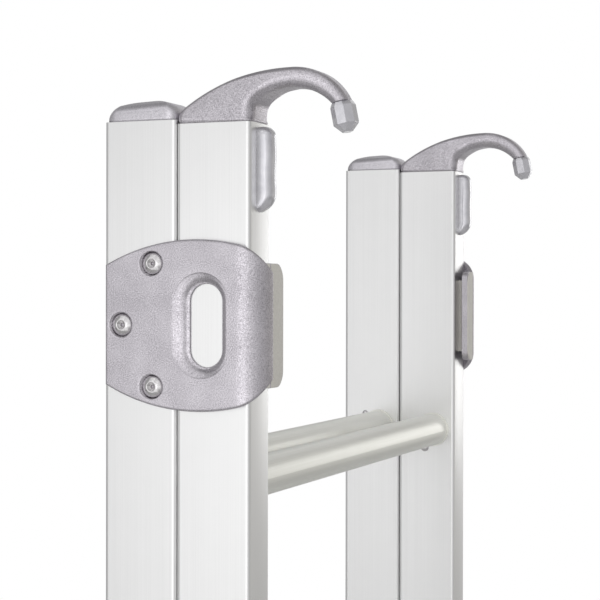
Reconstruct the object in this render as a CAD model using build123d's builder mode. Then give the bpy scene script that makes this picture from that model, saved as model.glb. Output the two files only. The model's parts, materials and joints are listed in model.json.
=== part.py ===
"""Roof tent ladder in two sliding sections, with cast hooks, in millimetres, +Z up.

The base section stands on the ground. The hook section slides up in front of it, held by
cast guides that wrap round the other section's rails, and sprung pins lock the two together.
The origin is on the floor, midway between the stiles and between the two sections' rails.
The left stile, at -Y, is modelled and the right one is its mirror image.
"""
import os
from math import cos, radians, sin, sqrt

from build123d import *

os.makedirs("parts", exist_ok=True)

# Ladder
ladder_width = 424.0
rung_pitch = 275.0
rung_count = 4
top_length = 204.8
bottom_length = 126.2
section_gap = 1.4
hook_rail_drop = 2.5
running_gap = 0.4

# Rail extrusion
rail_depth = 44.2
rail_width = 28.0
rail_wall = 1.8
rail_corner = 2.5

# Rung tube, with a collar outside and a bead inside each rail wall
rung_offset = 6.5
rung_od = 24.5
rung_wall = 1.6
collar_od = 26.2
collar_width = 2.6
bead_width = 2.0

# Round-headed rivet beside each rung end
rung_rivet_head = 5.0
rung_rivet_rise = 1.6
rung_rivet_taper = 30.0
rung_rivet_shank = 3.2
rung_rivet_reach = 15.8
rung_rivet_angle = 58.0

# End fittings
plug_fit = 0.15
plug_length = 20.0
plug_gap = 4.5
plug_wall = 3.0
sole_height = 6.0
tread_width = 3.0
tread_depth = 2.0
tread_count = 5
cap_rear_height = 6.0
cap_crest_height = 11.3
cap_front_height = 8.0
cap_round = 2.4

# Cast hook
hook_rise = 29.7
hook_crest_x = 69.3
hook_rear_rise = 6.0
hook_rear_round = 8.0
hook_overhang = 1.4
hook_root_rise = 9.6
hook_root_round = 8.0
hook_throat_x = 23.1
hook_throat_rise = 18.7
hook_tip_x = 47.3
hook_tip_rise = 8.6
hook_tip_thickness = 11.0
hook_tip_width = 14.0
hook_tip_lean = 11.5
hook_round = 3.0
spigot_length = 50.0
stub_width = 8.0
stub_depth = 6.0
stub_length = 12.0
stub_root = 3.0

# Tip cap
tip_cap_width = 15.5
tip_cap_depth = 13.2
tip_cap_length = 16.8
tip_cap_facet = 3.0
tip_cap_bevel = 4.0

# Front bumper under the hook
bumper_width = 12.0
bumper_rise = 10.8
bumper_height = 48.3
bumper_drop = 2.3
bumper_top_round = 4.5
bumper_low_round = 8.5
bumper_side_round = 2.5

# Cast guide
guide_plate = 4.2
guide_height = 97.0
guide_edge_height = 68.6
guide_centre_drop = 116.5
guide_crest_x = 14.0
guide_wall = 5.1
guide_wall_gap = 3.9
guide_bend = 10.2
guide_inner_bend = 5.0
nose_gap = 6.9
nose_wall = 4.6
nose_bend = 18.0
nose_inner_bend = 10.0
guide_nose_overrun = 0.3
guide_nose_round = 21.0
guide_lip_reach = 24.2
guide_lip_height = 69.8
guide_lip_round = 5.0
guide_lip_inset = 1.0
guide_edge_round = 1.6
window_offset = 20.2
window_width = 20.0
window_height = 47.0
dish_margin = 7.8
dish_end_margin = 6.4
dish_shift = 2.0
dish_round = 2.0
window_land = 1.2
lower_guide_height = 70.0

# Rubber strip and glide liner on the guide
strip_start = 10.0
strip_width = 13.8
strip_seat = 1.0
strip_rise = 1.2
strip_height = 69.4
strip_corner = 9.0
strip_edge_round = 0.5
liner_width = 6.0
liner_offset = -1.2
liner_height = 56.0
liner_split = 24.0

# Guide rivets
rivet_head = 13.0
rivet_head_height = 1.5
rivet_head_round = 0.5
rivet_recess = 14.5
rivet_shank = 6.4
rivet_bore = 3.0
rivet_dish = 8.4
rivet_tail = 9.0
rivet_tail_length = 4.0
rivet_spread = 35.0
rivet_inner_x = 12.8
rivet_outer_x = 32.2

# Lock
pin_diameter = 8.0
pin_travel = 7.0
pin_tip_gap = 0.5
pin_tip_bevel = 1.0
pin_running_fit = 0.05
pin_side_clearance = 0.5
pin_height_play = 1.0
lock_slot_corner = 1.0
pin_collar = 11.4
pin_collar_width = 2.0
pin_stem = 5.0
stop_gap = 0.3
bush_diameter = 16.0
bush_thread = 12.0
bush_flange = 20.0
bush_front_wall = 3.0
bush_rear_wall = 2.0
chamber_diameter = 12.0
spring_length = 6.0
spring_wire = 0.9
spring_diameter = 9.0
spring_turns = 3.0
nut_across = 18.0
nut_height = 3.0
knob_diameter = 26.0
knob_length = 13.0
knob_neck = 14.0
knob_neck_length = 3.0
knob_lobes = 6
knob_lobe_radius = 5.0
knob_lobe_depth = 2.0
knob_round = 1.5
knob_seat = 9.0

# Places worked out from the sizes above
rail_length = top_length + (rung_count - 1) * rung_pitch + bottom_length
base_top = sole_height + rail_length
hook_top = base_top - hook_rail_drop
base_rung_heights = [sole_height + bottom_length + i * rung_pitch for i in range(rung_count)]
hook_rung_heights = [z - hook_rail_drop / 2 for z in base_rung_heights]
lock_heights = [lower_guide_height + i * rung_pitch for i in range(rung_count)]
lock_slot_width = pin_diameter + 2 * pin_side_clearance
lock_slot_height = pin_diameter + 2 * pin_height_play
foot_plug_length = lower_guide_height - rivet_spread - rivet_tail / 2 - plug_gap - sole_height
guide_z = base_top - guide_centre_drop
outer_y = -ladder_width / 2
inner_y = outer_y + rail_width
stile_y = outer_y + rail_width / 2
rail_x = section_gap / 2 + rail_depth / 2
face_x = section_gap / 2 + rail_depth
base_rung_x = rung_offset - rail_x
hook_rung_x = rung_offset + rail_x
wall_inner_x = face_x + guide_wall_gap
wall_outer_x = wall_inner_x + guide_wall
nose_inner_x = face_x + nose_gap
nose_outer_x = nose_inner_x + nose_wall
plate_back_y = outer_y - running_gap
plate_y = plate_back_y - guide_plate
rivet_spots = [(rivet_inner_x, rivet_spread), (rivet_inner_x, -rivet_spread), (rivet_outer_x, 0)]
chamber_front = wall_outer_x + bush_front_wall
chamber_rear = chamber_front + stop_gap + pin_travel + pin_collar_width + spring_length
bush_rear = chamber_rear + bush_rear_wall
collar_front = chamber_front + stop_gap + pin_travel
knob_front = bush_rear + pin_travel + stop_gap
tip_lean = radians(hook_tip_lean)
tip_inner = (face_x + hook_tip_x, hook_top + hook_tip_rise)
tip_middle = (
    tip_inner[0] + hook_tip_thickness / 2 * cos(tip_lean),
    tip_inner[1] + hook_tip_thickness / 2 * sin(tip_lean),
)
tip_outer = (2 * tip_middle[0] - tip_inner[0], 2 * tip_middle[1] - tip_inner[1])
tip_plane = Plane(
    origin=(tip_middle[0], stile_y, tip_middle[1]),
    x_dir=(cos(tip_lean), 0, sin(tip_lean)),
    z_dir=(sin(tip_lean), 0, -cos(tip_lean)),
)
along_y = (90, 0, 0)


def save(part, name):
    """Label a finished piece and write it."""
    part.label = name
    export_step(part, f"parts/{name}.step")


def save_pair(part, name):
    """Write a left-hand piece and its mirror image for the right stile."""
    save(part, f"{name}_left")
    save(mirror(part, about=Plane.XZ), f"{name}_right")


def side_plane(y):
    """A plane along the stile's side, with X to the right and Z up."""
    return Plane(origin=(0, y, 0), x_dir=(1, 0, 0), z_dir=(0, -1, 0))


def rung_rivet_place(x, z):
    """Where a rung's rivet sits: behind the rung, above it on the base section, below on the other."""
    turn = radians(rung_rivet_angle)
    rise = rung_rivet_reach * sin(turn)
    return x - rung_rivet_reach * cos(turn), z + rise if x < 0 else z - rise


def rail_outline(inset):
    """The rail's outline drawn in by inset, its corners drawn in with it."""
    corner = max(rail_corner - inset, plug_fit)
    return RectangleRounded(rail_depth - 2 * inset, rail_width - 2 * inset, corner)


def rail(x, z_top, rung_heights, rivets, lock_slots):
    """A rail extrusion, with its rung and rivet holes and lock slots."""
    with BuildPart() as tube:
        with BuildSketch(Plane.XY.offset(sole_height)):
            with Locations((x, stile_y)):
                rail_outline(0)
        extrude(amount=z_top - sole_height)
        with BuildSketch(Plane.XY.offset(sole_height)):
            with Locations((x, stile_y)):
                rail_outline(rail_wall)
        extrude(amount=z_top - sole_height, mode=Mode.SUBTRACT)
        with Locations([(x + rung_offset, inner_y - rail_wall / 2, z) for z in rung_heights]):
            Cylinder(rung_od / 2, 2 * rail_wall, rotation=along_y, mode=Mode.SUBTRACT)
        for z in rung_heights:
            rivet_x, rivet_z = rung_rivet_place(x + rung_offset, z)
            with Locations((rivet_x, inner_y - rail_wall / 2, rivet_z)):
                Cylinder(rung_rivet_shank / 2, 2 * rail_wall, rotation=along_y, mode=Mode.SUBTRACT)
        with Locations([(rivet_x, outer_y + rail_wall / 2, rivet_z) for rivet_x, rivet_z in rivets]):
            Cylinder(rivet_shank / 2, 2 * rail_wall, rotation=along_y, mode=Mode.SUBTRACT)
        for z in lock_slots:
            with BuildSketch(Plane.YZ.offset(-face_x)):
                with Locations((stile_y, z)):
                    RectangleRounded(lock_slot_width, lock_slot_height, lock_slot_corner)
            extrude(amount=2 * rail_wall, mode=Mode.SUBTRACT)
    return tube.part


def rung(x, z):
    """A rung tube, swaged outwards on both sides of each rail's inner wall."""
    half = -inner_y + rail_wall + bead_width
    collar_y = -inner_y - collar_width / 2
    bead_y = half - bead_width / 2
    with BuildPart() as tube:
        with Locations((x, 0, z)):
            Cylinder(rung_od / 2, 2 * half, rotation=along_y)
        with Locations((x, -collar_y, z), (x, collar_y, z)):
            Cylinder(collar_od / 2, collar_width, rotation=along_y)
        with Locations((x, -bead_y, z), (x, bead_y, z)):
            Cylinder(collar_od / 2, bead_width, rotation=along_y)
        with Locations((x, 0, z)):
            Cylinder(rung_od / 2 - rung_wall, 2 * half, rotation=along_y, mode=Mode.SUBTRACT)
    return tube.part


def rung_rivets(x, rung_heights):
    """The round-headed rivets of one section, one beside each rung end."""
    with BuildPart() as rivets:
        for z in rung_heights:
            rivet_x, rivet_z = rung_rivet_place(x, z)
            seat = Plane(origin=(rivet_x, inner_y, rivet_z), x_dir=(1, 0, 0), z_dir=(0, 1, 0))
            with BuildSketch(seat):
                Circle(rung_rivet_shank / 2)
            extrude(amount=-rail_wall)
            with BuildSketch(seat):
                Circle(rung_rivet_head / 2)
            extrude(amount=rung_rivet_rise, taper=rung_rivet_taper)
        mirror(about=Plane.XZ)
    return rivets.part


def plug(x, z, depth):
    """A hollow plug that fits the rail's bore, from height z by the signed depth."""
    with BuildPart() as sleeve:
        with BuildSketch(Plane.XY.offset(z)):
            with Locations((x, stile_y)):
                rail_outline(rail_wall + plug_fit)
        extrude(amount=depth)
        with BuildSketch(Plane.XY.offset(z)):
            with Locations((x, stile_y)):
                rail_outline(rail_wall + plug_fit + plug_wall)
        extrude(amount=depth, mode=Mode.SUBTRACT)
    return sleeve.part


def foot(x):
    """A moulded foot: a plug in the rail and a sole with tread grooves under it."""
    with BuildPart() as sole:
        with BuildSketch(Plane.XY):
            with Locations((x, stile_y)):
                rail_outline(0)
        extrude(amount=sole_height)
        with Locations((x, stile_y, tread_depth / 2)):
            with GridLocations(rail_depth / (tread_count + 1), 1, tread_count, 1):
                Box(tread_width, rail_width, tread_depth, mode=Mode.SUBTRACT)
        add(plug(x, sole_height, foot_plug_length))
    return sole.part


def top_cap():
    """The cambered end cap of a base rail, on its plug."""
    rear = -face_x
    front = -section_gap / 2
    with BuildPart() as cap:
        with BuildSketch(side_plane(stile_y)):
            with BuildLine():
                Polyline(
                    (front, base_top + cap_front_height),
                    (front, base_top),
                    (rear, base_top),
                    (rear, base_top + cap_rear_height),
                )
                ThreePointArc(
                    (rear, base_top + cap_rear_height),
                    (-rail_x, base_top + cap_crest_height),
                    (front, base_top + cap_front_height),
                )
            make_face()
        extrude(amount=rail_width / 2, both=True)
        fillet(cap.edges().filter_by(Axis.Z), rail_corner)
        fillet(cap.faces().sort_by(Axis.Z)[-1].edges(), cap_round)
        add(plug(-rail_x, base_top, -plug_length))
    return cap.part


def hook():
    """The cast hook: an arm that tapers to its tip, a spigot in the rail and a stub for the cap."""
    rear = section_gap / 2
    root_x = face_x + hook_overhang
    crest = (rear + hook_crest_x, hook_top + hook_rise)
    throat = (face_x + hook_throat_x, hook_top + hook_throat_rise)
    rear_corner = (rear, hook_top + hook_rear_rise)
    root_corner = (root_x, hook_top + hook_root_rise)
    with BuildPart() as arm:
        with BuildSketch(side_plane(stile_y)) as outline:
            with BuildLine():
                TangentArc(crest, rear_corner, tangent=(-1, 0))
                Polyline(rear_corner, (rear, hook_top), (root_x, hook_top), root_corner)
                TangentArc(throat, root_corner, tangent=(-1, 0))
                TangentArc(throat, tip_inner, tangent=(1, 0))
                Line(tip_inner, tip_outer)
                TangentArc(crest, tip_outer, tangent=(1, 0))
            make_face()
            fillet(outline.vertices().sort_by_distance((*rear_corner, 0))[0], hook_rear_round)
            fillet(outline.vertices().sort_by_distance((*root_corner, 0))[0], hook_root_round)
        extrude(amount=rail_width / 2, both=True)
        with BuildSketch(Plane.XY.offset(hook_top)):
            with BuildLine():
                Polyline(
                    (rear, outer_y),
                    (root_x, outer_y),
                    (tip_outer[0], stile_y - hook_tip_width / 2),
                    (tip_outer[0], stile_y + hook_tip_width / 2),
                    (root_x, inner_y),
                    (rear, inner_y),
                    close=True,
                )
            make_face()
        extrude(amount=2 * hook_rise, mode=Mode.INTERSECT)
        seat_edges = arm.faces().filter_by(Axis.Z).sort_by(Axis.Z)[0].edges()
        tip_edges = arm.faces().filter_by(lambda f: f.normal_at().dot(tip_plane.z_dir) > 0.999).edges()
        fillet(arm.edges() - seat_edges - tip_edges, hook_round)
        with BuildSketch(Plane.XY.offset(hook_top)):
            with Locations((rail_x, stile_y)):
                rail_outline(rail_wall + plug_fit)
        extrude(amount=-spigot_length)
        with BuildSketch(tip_plane.offset(-stub_root)):
            Rectangle(stub_depth, stub_width)
        extrude(amount=stub_root + stub_length)
    return arm.part


def tip_cap():
    """The faceted soft cap on the hook's tip, with a pocket for the stub."""
    with BuildPart() as cap:
        with BuildSketch(tip_plane) as outline:
            Rectangle(tip_cap_depth, tip_cap_width)
            chamfer(outline.vertices(), tip_cap_facet)
        extrude(amount=tip_cap_length)
        chamfer(cap.faces().sort_by(Axis.Z)[0].edges(), tip_cap_bevel)
        with BuildSketch(tip_plane):
            Rectangle(stub_depth, stub_width)
        extrude(amount=stub_length, mode=Mode.SUBTRACT)
    return cap.part


def bumper():
    """The soft bumper on the front of a hook rail, just under the hook."""
    top = hook_top - bumper_drop
    low = top - bumper_height
    nose = face_x + bumper_rise
    with BuildPart() as block:
        with BuildSketch(side_plane(stile_y)) as outline:
            with BuildLine():
                Polyline((face_x, low), (nose, low), (nose, top), (face_x, top), close=True)
            make_face()
            fillet(outline.vertices().sort_by_distance((nose, top, 0))[0], bumper_top_round)
            fillet(outline.vertices().sort_by_distance((nose, low, 0))[0], bumper_low_round)
        extrude(amount=bumper_width / 2, both=True)
        seat_edges = block.faces().sort_by(Axis.X)[0].edges()
        rim = block.faces().filter_by(Axis.Y).edges() - seat_edges
        fillet(rim, bumper_side_round)
    return block.part


def guide(z_mid, lock):
    """The cast guide: a barrel-shaped plate with a dished window, wrapped round the rail's front."""
    free_x = -(face_x - rail_corner)
    inner_x = wall_inner_x if lock else nose_inner_x
    front_x = wall_outer_x if lock else nose_outer_x
    nose_x = wall_outer_x if lock else nose_outer_x + strip_seat
    bend = guide_bend if lock else nose_bend
    inner_bend = guide_inner_bend if lock else nose_inner_bend
    outline_x = nose_x + guide_nose_overrun
    lip_y = inner_y - guide_lip_inset if lock else outer_y + guide_lip_reach
    step_y = outer_y + strip_start
    edge = guide_edge_height / 2
    half = guide_height / 2
    with BuildPart() as casting:
        with BuildSketch(Plane.XY.offset(z_mid - half)) as plan:
            with BuildLine():
                Polyline(
                    (free_x, plate_y),
                    (nose_x, plate_y),
                    (nose_x, lip_y),
                    (inner_x, lip_y),
                    (inner_x, plate_back_y),
                    (-section_gap, plate_back_y),
                    (-section_gap, outer_y),
                    (free_x, outer_y),
                    close=True,
                )
            make_face()
            fillet(plan.vertices().sort_by_distance((nose_x, plate_y, 0))[0], bend)
            fillet(plan.vertices().sort_by_distance((inner_x, plate_back_y, 0))[0], inner_bend)
            if not lock:
                with Locations((front_x, step_y)):
                    seat_align = (Align.MIN, Align.MIN)
                    Rectangle(2 * strip_seat, 2 * guide_lip_reach, align=seat_align, mode=Mode.SUBTRACT)
        extrude(amount=guide_height)
        with BuildSketch(side_plane(plate_y - guide_plate)) as outline:
            with BuildLine():
                barrel_x = 2 * guide_crest_x - free_x
                ThreePointArc(
                    (free_x, z_mid + edge),
                    (guide_crest_x, z_mid + half),
                    (barrel_x, z_mid + edge),
                )
                Line((barrel_x, z_mid + edge), (barrel_x, z_mid - edge))
                ThreePointArc(
                    (barrel_x, z_mid - edge),
                    (guide_crest_x, z_mid - half),
                    (free_x, z_mid - edge),
                )
                Line((free_x, z_mid - edge), (free_x, z_mid + edge))
            make_face()
            with Locations(((free_x + outline_x) / 2, z_mid)):
                Rectangle(outline_x - free_x, 2 * guide_height, mode=Mode.INTERSECT)
            fillet(outline.vertices().group_by(Axis.X)[-1], guide_nose_round)
        extrude(amount=-(ladder_width / 2), mode=Mode.INTERSECT)
        with BuildSketch(Plane.YZ.offset(free_x - guide_wall)) as lip:
            with BuildLine():
                Polyline(
                    (plate_y - guide_plate, z_mid + guide_height),
                    (plate_y - guide_plate, z_mid - guide_height),
                    (plate_back_y, z_mid - guide_height),
                    (step_y, z_mid - guide_lip_height / 2),
                    (lip_y, z_mid - guide_lip_height / 2),
                    (lip_y, z_mid + guide_lip_height / 2),
                    (step_y, z_mid + guide_lip_height / 2),
                    (plate_back_y, z_mid + guide_height),
                    close=True,
                )
            make_face()
            fillet(lip.vertices().group_by(Axis.X)[-1], guide_lip_round)
        extrude(amount=nose_x - free_x + 2 * guide_wall, mode=Mode.INTERSECT)
        plate_edges = casting.faces().sort_by(Axis.Y)[0].edges()
        fillet(plate_edges.sort_by(Axis.X)[:-1], guide_edge_round)
        with BuildSketch(side_plane(plate_y)):
            with Locations((window_offset - dish_shift, z_mid)):
                SlotOverall(window_height + 2 * dish_end_margin, window_width + 2 * dish_margin, rotation=90)
        with BuildSketch(side_plane(plate_back_y - window_land)):
            with Locations((window_offset, z_mid)):
                SlotOverall(window_height, window_width, rotation=90)
        loft(mode=Mode.SUBTRACT)
        rim = casting.faces().sort_by(Axis.Y)[0].inner_wires().sort_by_distance((window_offset, plate_y, z_mid))
        fillet(rim[0].edges(), dish_round)
        with BuildSketch(side_plane(plate_y)):
            with Locations((window_offset, z_mid)):
                SlotOverall(window_height, window_width, rotation=90)
        extrude(amount=-2 * guide_plate, mode=Mode.SUBTRACT)
        for x, dz in rivet_spots:
            with Locations((-x, plate_y + rivet_head_height / 2, z_mid + dz)):
                Cylinder(rivet_recess / 2, rivet_head_height, rotation=along_y, mode=Mode.SUBTRACT)
            with Locations((-x, outer_y - guide_plate / 2, z_mid + dz)):
                Cylinder(rivet_shank / 2, 2 * guide_plate, rotation=along_y, mode=Mode.SUBTRACT)
        if lock:
            with Locations((wall_inner_x + guide_wall / 2, stile_y, z_mid)):
                Cylinder(bush_thread / 2, 2 * guide_wall, rotation=(0, 90, 0), mode=Mode.SUBTRACT)
    return casting.part


def guide_strip():
    """The rubber strip on the front of an upper guide, its free corners rounded."""
    strip_y = outer_y + strip_start
    with BuildPart() as strip:
        with BuildSketch(Plane.YZ.offset(nose_outer_x)) as outline:
            with Locations((strip_y + strip_width / 2, guide_z)):
                Rectangle(strip_width, strip_height)
            fillet(outline.vertices().group_by(Axis.X)[-1], strip_corner)
        extrude(amount=strip_rise)
        fillet(strip.faces().sort_by(Axis.X)[-1].edges(), strip_edge_round)
    return strip.part


def guide_liner(inner_x, z_mid, split):
    """The glide liner between a guide's front wall and the rail that runs in it."""
    thickness = inner_x - face_x - running_gap
    with BuildPart() as liner:
        with Locations((inner_x - thickness / 2, stile_y + liner_offset, z_mid)):
            Box(thickness, liner_width, liner_height)
            if split:
                Box(thickness, liner_width, split, mode=Mode.SUBTRACT)
    return liner.part


def guide_rivets(z_mid):
    """The three tubular rivets of a guide, with dished heads and spread tails."""
    tail_y = outer_y + rail_wall
    with BuildPart() as rivets:
        for x, dz in rivet_spots:
            axis_plane = Plane(origin=(-x, plate_y, z_mid + dz), x_dir=(1, 0, 0), z_dir=(0, 0, 1))
            with BuildSketch(axis_plane) as section:
                with BuildLine():
                    Polyline(
                        (rivet_dish / 2, 0),
                        (rivet_head / 2, 0),
                        (rivet_head / 2, rivet_head_height),
                        (rivet_shank / 2, rivet_head_height),
                        (rivet_shank / 2, tail_y - plate_y),
                        (rivet_tail / 2, tail_y - plate_y),
                        (rivet_shank / 2, tail_y - plate_y + rivet_tail_length),
                        (rivet_bore / 2, tail_y - plate_y + rivet_tail_length),
                        (rivet_bore / 2, rivet_head_height),
                        close=True,
                    )
                make_face()
                fillet(section.vertices().sort_by_distance((rivet_head / 2, 0, 0))[0], rivet_head_round)
            revolve(axis=Axis((-x, plate_y, z_mid + dz), (0, 1, 0)))
    return rivets.part


def turned(points):
    """A piece turned about the lock's axis, from points of (distance behind the gap, radius)."""
    axis_plane = Plane(origin=(0, stile_y, lower_guide_height), x_dir=(-1, 0, 0), z_dir=(0, 1, 0))
    with BuildPart() as piece:
        with BuildSketch(axis_plane):
            with BuildLine():
                Polyline(*points, close=True)
            make_face()
        revolve(axis=Axis((0, stile_y, lower_guide_height), (1, 0, 0)))
    return piece.part


def lock_bush():
    """The lock's threaded bush, with its spring chamber."""
    thread_end = wall_inner_x - nut_height
    bore = pin_diameter / 2 + pin_running_fit
    stem_bore = pin_stem / 2 + pin_running_fit
    return turned([
        (thread_end, bore),
        (thread_end, bush_thread / 2),
        (wall_outer_x, bush_thread / 2),
        (wall_outer_x, bush_flange / 2),
        (chamber_front, bush_flange / 2),
        (chamber_front, bush_diameter / 2),
        (bush_rear, bush_diameter / 2),
        (bush_rear, stem_bore),
        (chamber_rear, stem_bore),
        (chamber_rear, chamber_diameter / 2),
        (chamber_front, chamber_diameter / 2),
        (chamber_front, bore),
    ])


def lock_nut():
    """The hexagon nut that holds the bush in the guide's wall."""
    with BuildPart() as nut:
        with BuildSketch(Plane.YZ.offset(-wall_inner_x)):
            with Locations((stile_y, lower_guide_height)):
                RegularPolygon(nut_across / 2, 6, major_radius=False, rotation=30)
                Circle(bush_thread / 2, mode=Mode.SUBTRACT)
        extrude(amount=nut_height)
    return nut.part


def lock_pin():
    """The sprung pin, drawn back clear of the rail, with its collar and stem."""
    tip = face_x + pin_tip_gap
    return turned([
        (tip, 0),
        (tip, pin_diameter / 2 - pin_tip_bevel),
        (tip + pin_tip_bevel, pin_diameter / 2),
        (collar_front, pin_diameter / 2),
        (collar_front, pin_collar / 2),
        (collar_front + pin_collar_width, pin_collar / 2),
        (collar_front + pin_collar_width, pin_stem / 2),
        (knob_front + knob_seat, pin_stem / 2),
        (knob_front + knob_seat, 0),
    ])


def lock_spring():
    """The coil spring between the pin's collar and the chamber's rear wall."""
    coil_length = chamber_rear - collar_front - pin_collar_width - spring_wire
    start = (-chamber_rear + spring_wire / 2, stile_y, lower_guide_height)
    with BuildPart() as spring:
        with BuildLine() as path:
            Helix(coil_length / spring_turns, coil_length, spring_diameter / 2, start, (1, 0, 0))
        with BuildSketch(Plane(origin=path.line @ 0, z_dir=path.line % 0)):
            Circle(spring_wire / 2)
        sweep(is_frenet=True)
    return spring.part


def lock_knob():
    """The lobed pull knob on the pin's stem."""
    lobe_reach = knob_diameter / 2 + knob_lobe_radius - knob_lobe_depth
    rear_plane = Plane(origin=(-knob_front, stile_y, lower_guide_height), x_dir=(0, 1, 0), z_dir=(-1, 0, 0))
    with BuildPart() as knob:
        with BuildSketch(rear_plane):
            Circle(knob_neck / 2)
        extrude(amount=knob_neck_length)
        with BuildSketch(rear_plane.offset(knob_neck_length)):
            Circle(knob_diameter / 2)
            with PolarLocations(lobe_reach, knob_lobes):
                Circle(knob_lobe_radius, mode=Mode.SUBTRACT)
        extrude(amount=knob_length - knob_neck_length)
        fillet(knob.faces().sort_by(Axis.X)[0].edges(), knob_round)
        with BuildSketch(rear_plane):
            Circle(pin_stem / 2)
        extrude(amount=knob_seat, mode=Mode.SUBTRACT)
    return knob.part


# Base section
upper_rivets = [(-x, guide_z + dz) for x, dz in rivet_spots]
lower_rivets = [(x, lower_guide_height + dz) for x, dz in rivet_spots]
save_pair(rail(-rail_x, base_top, base_rung_heights, upper_rivets, lock_heights), "base_rail")
save_pair(top_cap(), "base_top_cap")
save_pair(foot(-rail_x), "base_foot")
for number, height in enumerate(base_rung_heights, start=1):
    save(rung(base_rung_x, height), f"base_rung_{number}")
save(rung_rivets(base_rung_x, base_rung_heights), "base_rung_rivets")
save_pair(guide(guide_z, lock=False), "upper_guide")
save_pair(guide_strip(), "upper_guide_strip")
save_pair(guide_liner(nose_inner_x, guide_z, split=0), "upper_guide_liner")
save_pair(guide_rivets(guide_z), "upper_guide_rivets")

# Hook section
save_pair(rail(rail_x, hook_top, hook_rung_heights, lower_rivets, []), "hook_rail")
save_pair(hook(), "hook")
save_pair(tip_cap(), "hook_tip_cap")
save_pair(bumper(), "hook_bumper")
save_pair(foot(rail_x), "hook_foot")
for number, height in enumerate(hook_rung_heights, start=1):
    save(rung(hook_rung_x, height), f"hook_rung_{number}")
save(rung_rivets(hook_rung_x, hook_rung_heights), "hook_rung_rivets")
save_pair(mirror(guide(lower_guide_height, lock=True), about=Plane.YZ), "lower_guide")
save_pair(mirror(guide_liner(wall_inner_x, lower_guide_height, liner_split), about=Plane.YZ), "lower_guide_liner")
save_pair(mirror(guide_rivets(lower_guide_height), about=Plane.YZ), "lower_guide_rivets")

# Locks
save_pair(lock_bush(), "lock_bush")
save_pair(lock_nut(), "lock_nut")
save_pair(lock_spring(), "lock_spring")
save_pair(lock_pin(), "lock_pin")
save_pair(lock_knob(), "lock_knob")
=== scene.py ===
"""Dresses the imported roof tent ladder: finishes, smooth castings and soft trim, light and camera."""

from __future__ import annotations

import json
import logging
import math
from dataclasses import dataclass
from enum import Enum
from typing import Any, Iterable, Sequence

import bpy
import numpy as np
from mathutils import Matrix, Vector

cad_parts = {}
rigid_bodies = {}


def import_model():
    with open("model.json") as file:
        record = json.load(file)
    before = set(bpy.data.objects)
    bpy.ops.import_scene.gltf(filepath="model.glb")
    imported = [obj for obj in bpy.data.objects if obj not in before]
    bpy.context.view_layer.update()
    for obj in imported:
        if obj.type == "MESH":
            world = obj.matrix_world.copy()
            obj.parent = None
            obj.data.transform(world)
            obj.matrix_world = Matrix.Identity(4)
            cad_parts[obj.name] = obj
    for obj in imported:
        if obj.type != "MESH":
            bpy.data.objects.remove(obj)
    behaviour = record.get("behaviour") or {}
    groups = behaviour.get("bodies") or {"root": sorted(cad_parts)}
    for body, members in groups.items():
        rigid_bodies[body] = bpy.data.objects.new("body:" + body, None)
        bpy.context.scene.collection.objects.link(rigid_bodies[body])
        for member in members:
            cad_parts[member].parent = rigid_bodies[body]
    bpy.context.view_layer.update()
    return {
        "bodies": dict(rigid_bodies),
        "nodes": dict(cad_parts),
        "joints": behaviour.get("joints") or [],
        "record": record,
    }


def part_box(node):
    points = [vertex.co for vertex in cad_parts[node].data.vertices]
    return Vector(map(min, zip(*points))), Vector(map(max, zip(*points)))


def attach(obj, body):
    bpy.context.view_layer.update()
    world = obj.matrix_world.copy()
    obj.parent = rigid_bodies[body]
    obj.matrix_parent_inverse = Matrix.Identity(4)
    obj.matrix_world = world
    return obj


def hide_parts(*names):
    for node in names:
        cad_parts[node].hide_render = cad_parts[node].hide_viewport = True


LOG = logging.getLogger("roof_tent_ladder")
MM = 0.001
BASE_SECTION = "base_section"
HOOK_SECTION = "hook_section"
# Rear and front faces of the two rails of a stile, read off the photo.
BASE_REAR = -45.1 * MM
BASE_FRONT = 0.65 * MM
HOOK_REAR = 0.95 * MM
HOOK_FRONT = 46.5 * MM
# Turn of a hook rail's crowned front at its edges.
HOOK_CROWN = math.radians(4)
# Rungs of each section and slots of each base rail, and the distance from one to the next.
RUNGS = 4
LOCK_SLOTS = 4
RUNG_PITCH = 275.0 * MM
# Places of the rivets beside the rungs, from a rung's axis along X and Z, and their heads' radius.
BASE_RIVET = (-11.3 * MM, 9.7 * MM, 2.5 * MM)
HOOK_RIVET = (-6.9 * MM, -14.4 * MM, 3.4 * MM)
# Depth of the lower guides' rivet heads against that of the upper ones.
LOWER_SINK = 0.7


class Side(Enum):
    """The two stiles, as the sign of their place on Y."""

    LEFT = -1
    RIGHT = 1

    @property
    def suffix(self) -> str:
        """The ending of this stile's node names."""
        return self.name.lower()

    def outer(self, node: str) -> float:
        """Place on Y of a node's outer face."""
        low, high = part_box(node)
        return low.y if self is Side.LEFT else high.y


class Grain(Enum):
    """How a finish's surface was made, which decides its pattern."""

    DRAWN = "drawn"
    CAST = "cast"
    MOULDED = "moulded"
    TURNED = "turned"


def linear(hex_colour: str) -> tuple[float, float, float, float]:
    """Turn an sRGB hex colour into linear light.

    Args:
        hex_colour: Six hex digits after a hash.

    Returns:
        Linear red, green, blue and an alpha of one.
    """
    values = [int(hex_colour[i : i + 2], 16) / 255 for i in (1, 3, 5)]
    bent = [v / 12.92 if v <= 0.04045 else ((v + 0.055) / 1.055) ** 2.4 for v in values]
    return bent[0], bent[1], bent[2], 1.0


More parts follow.
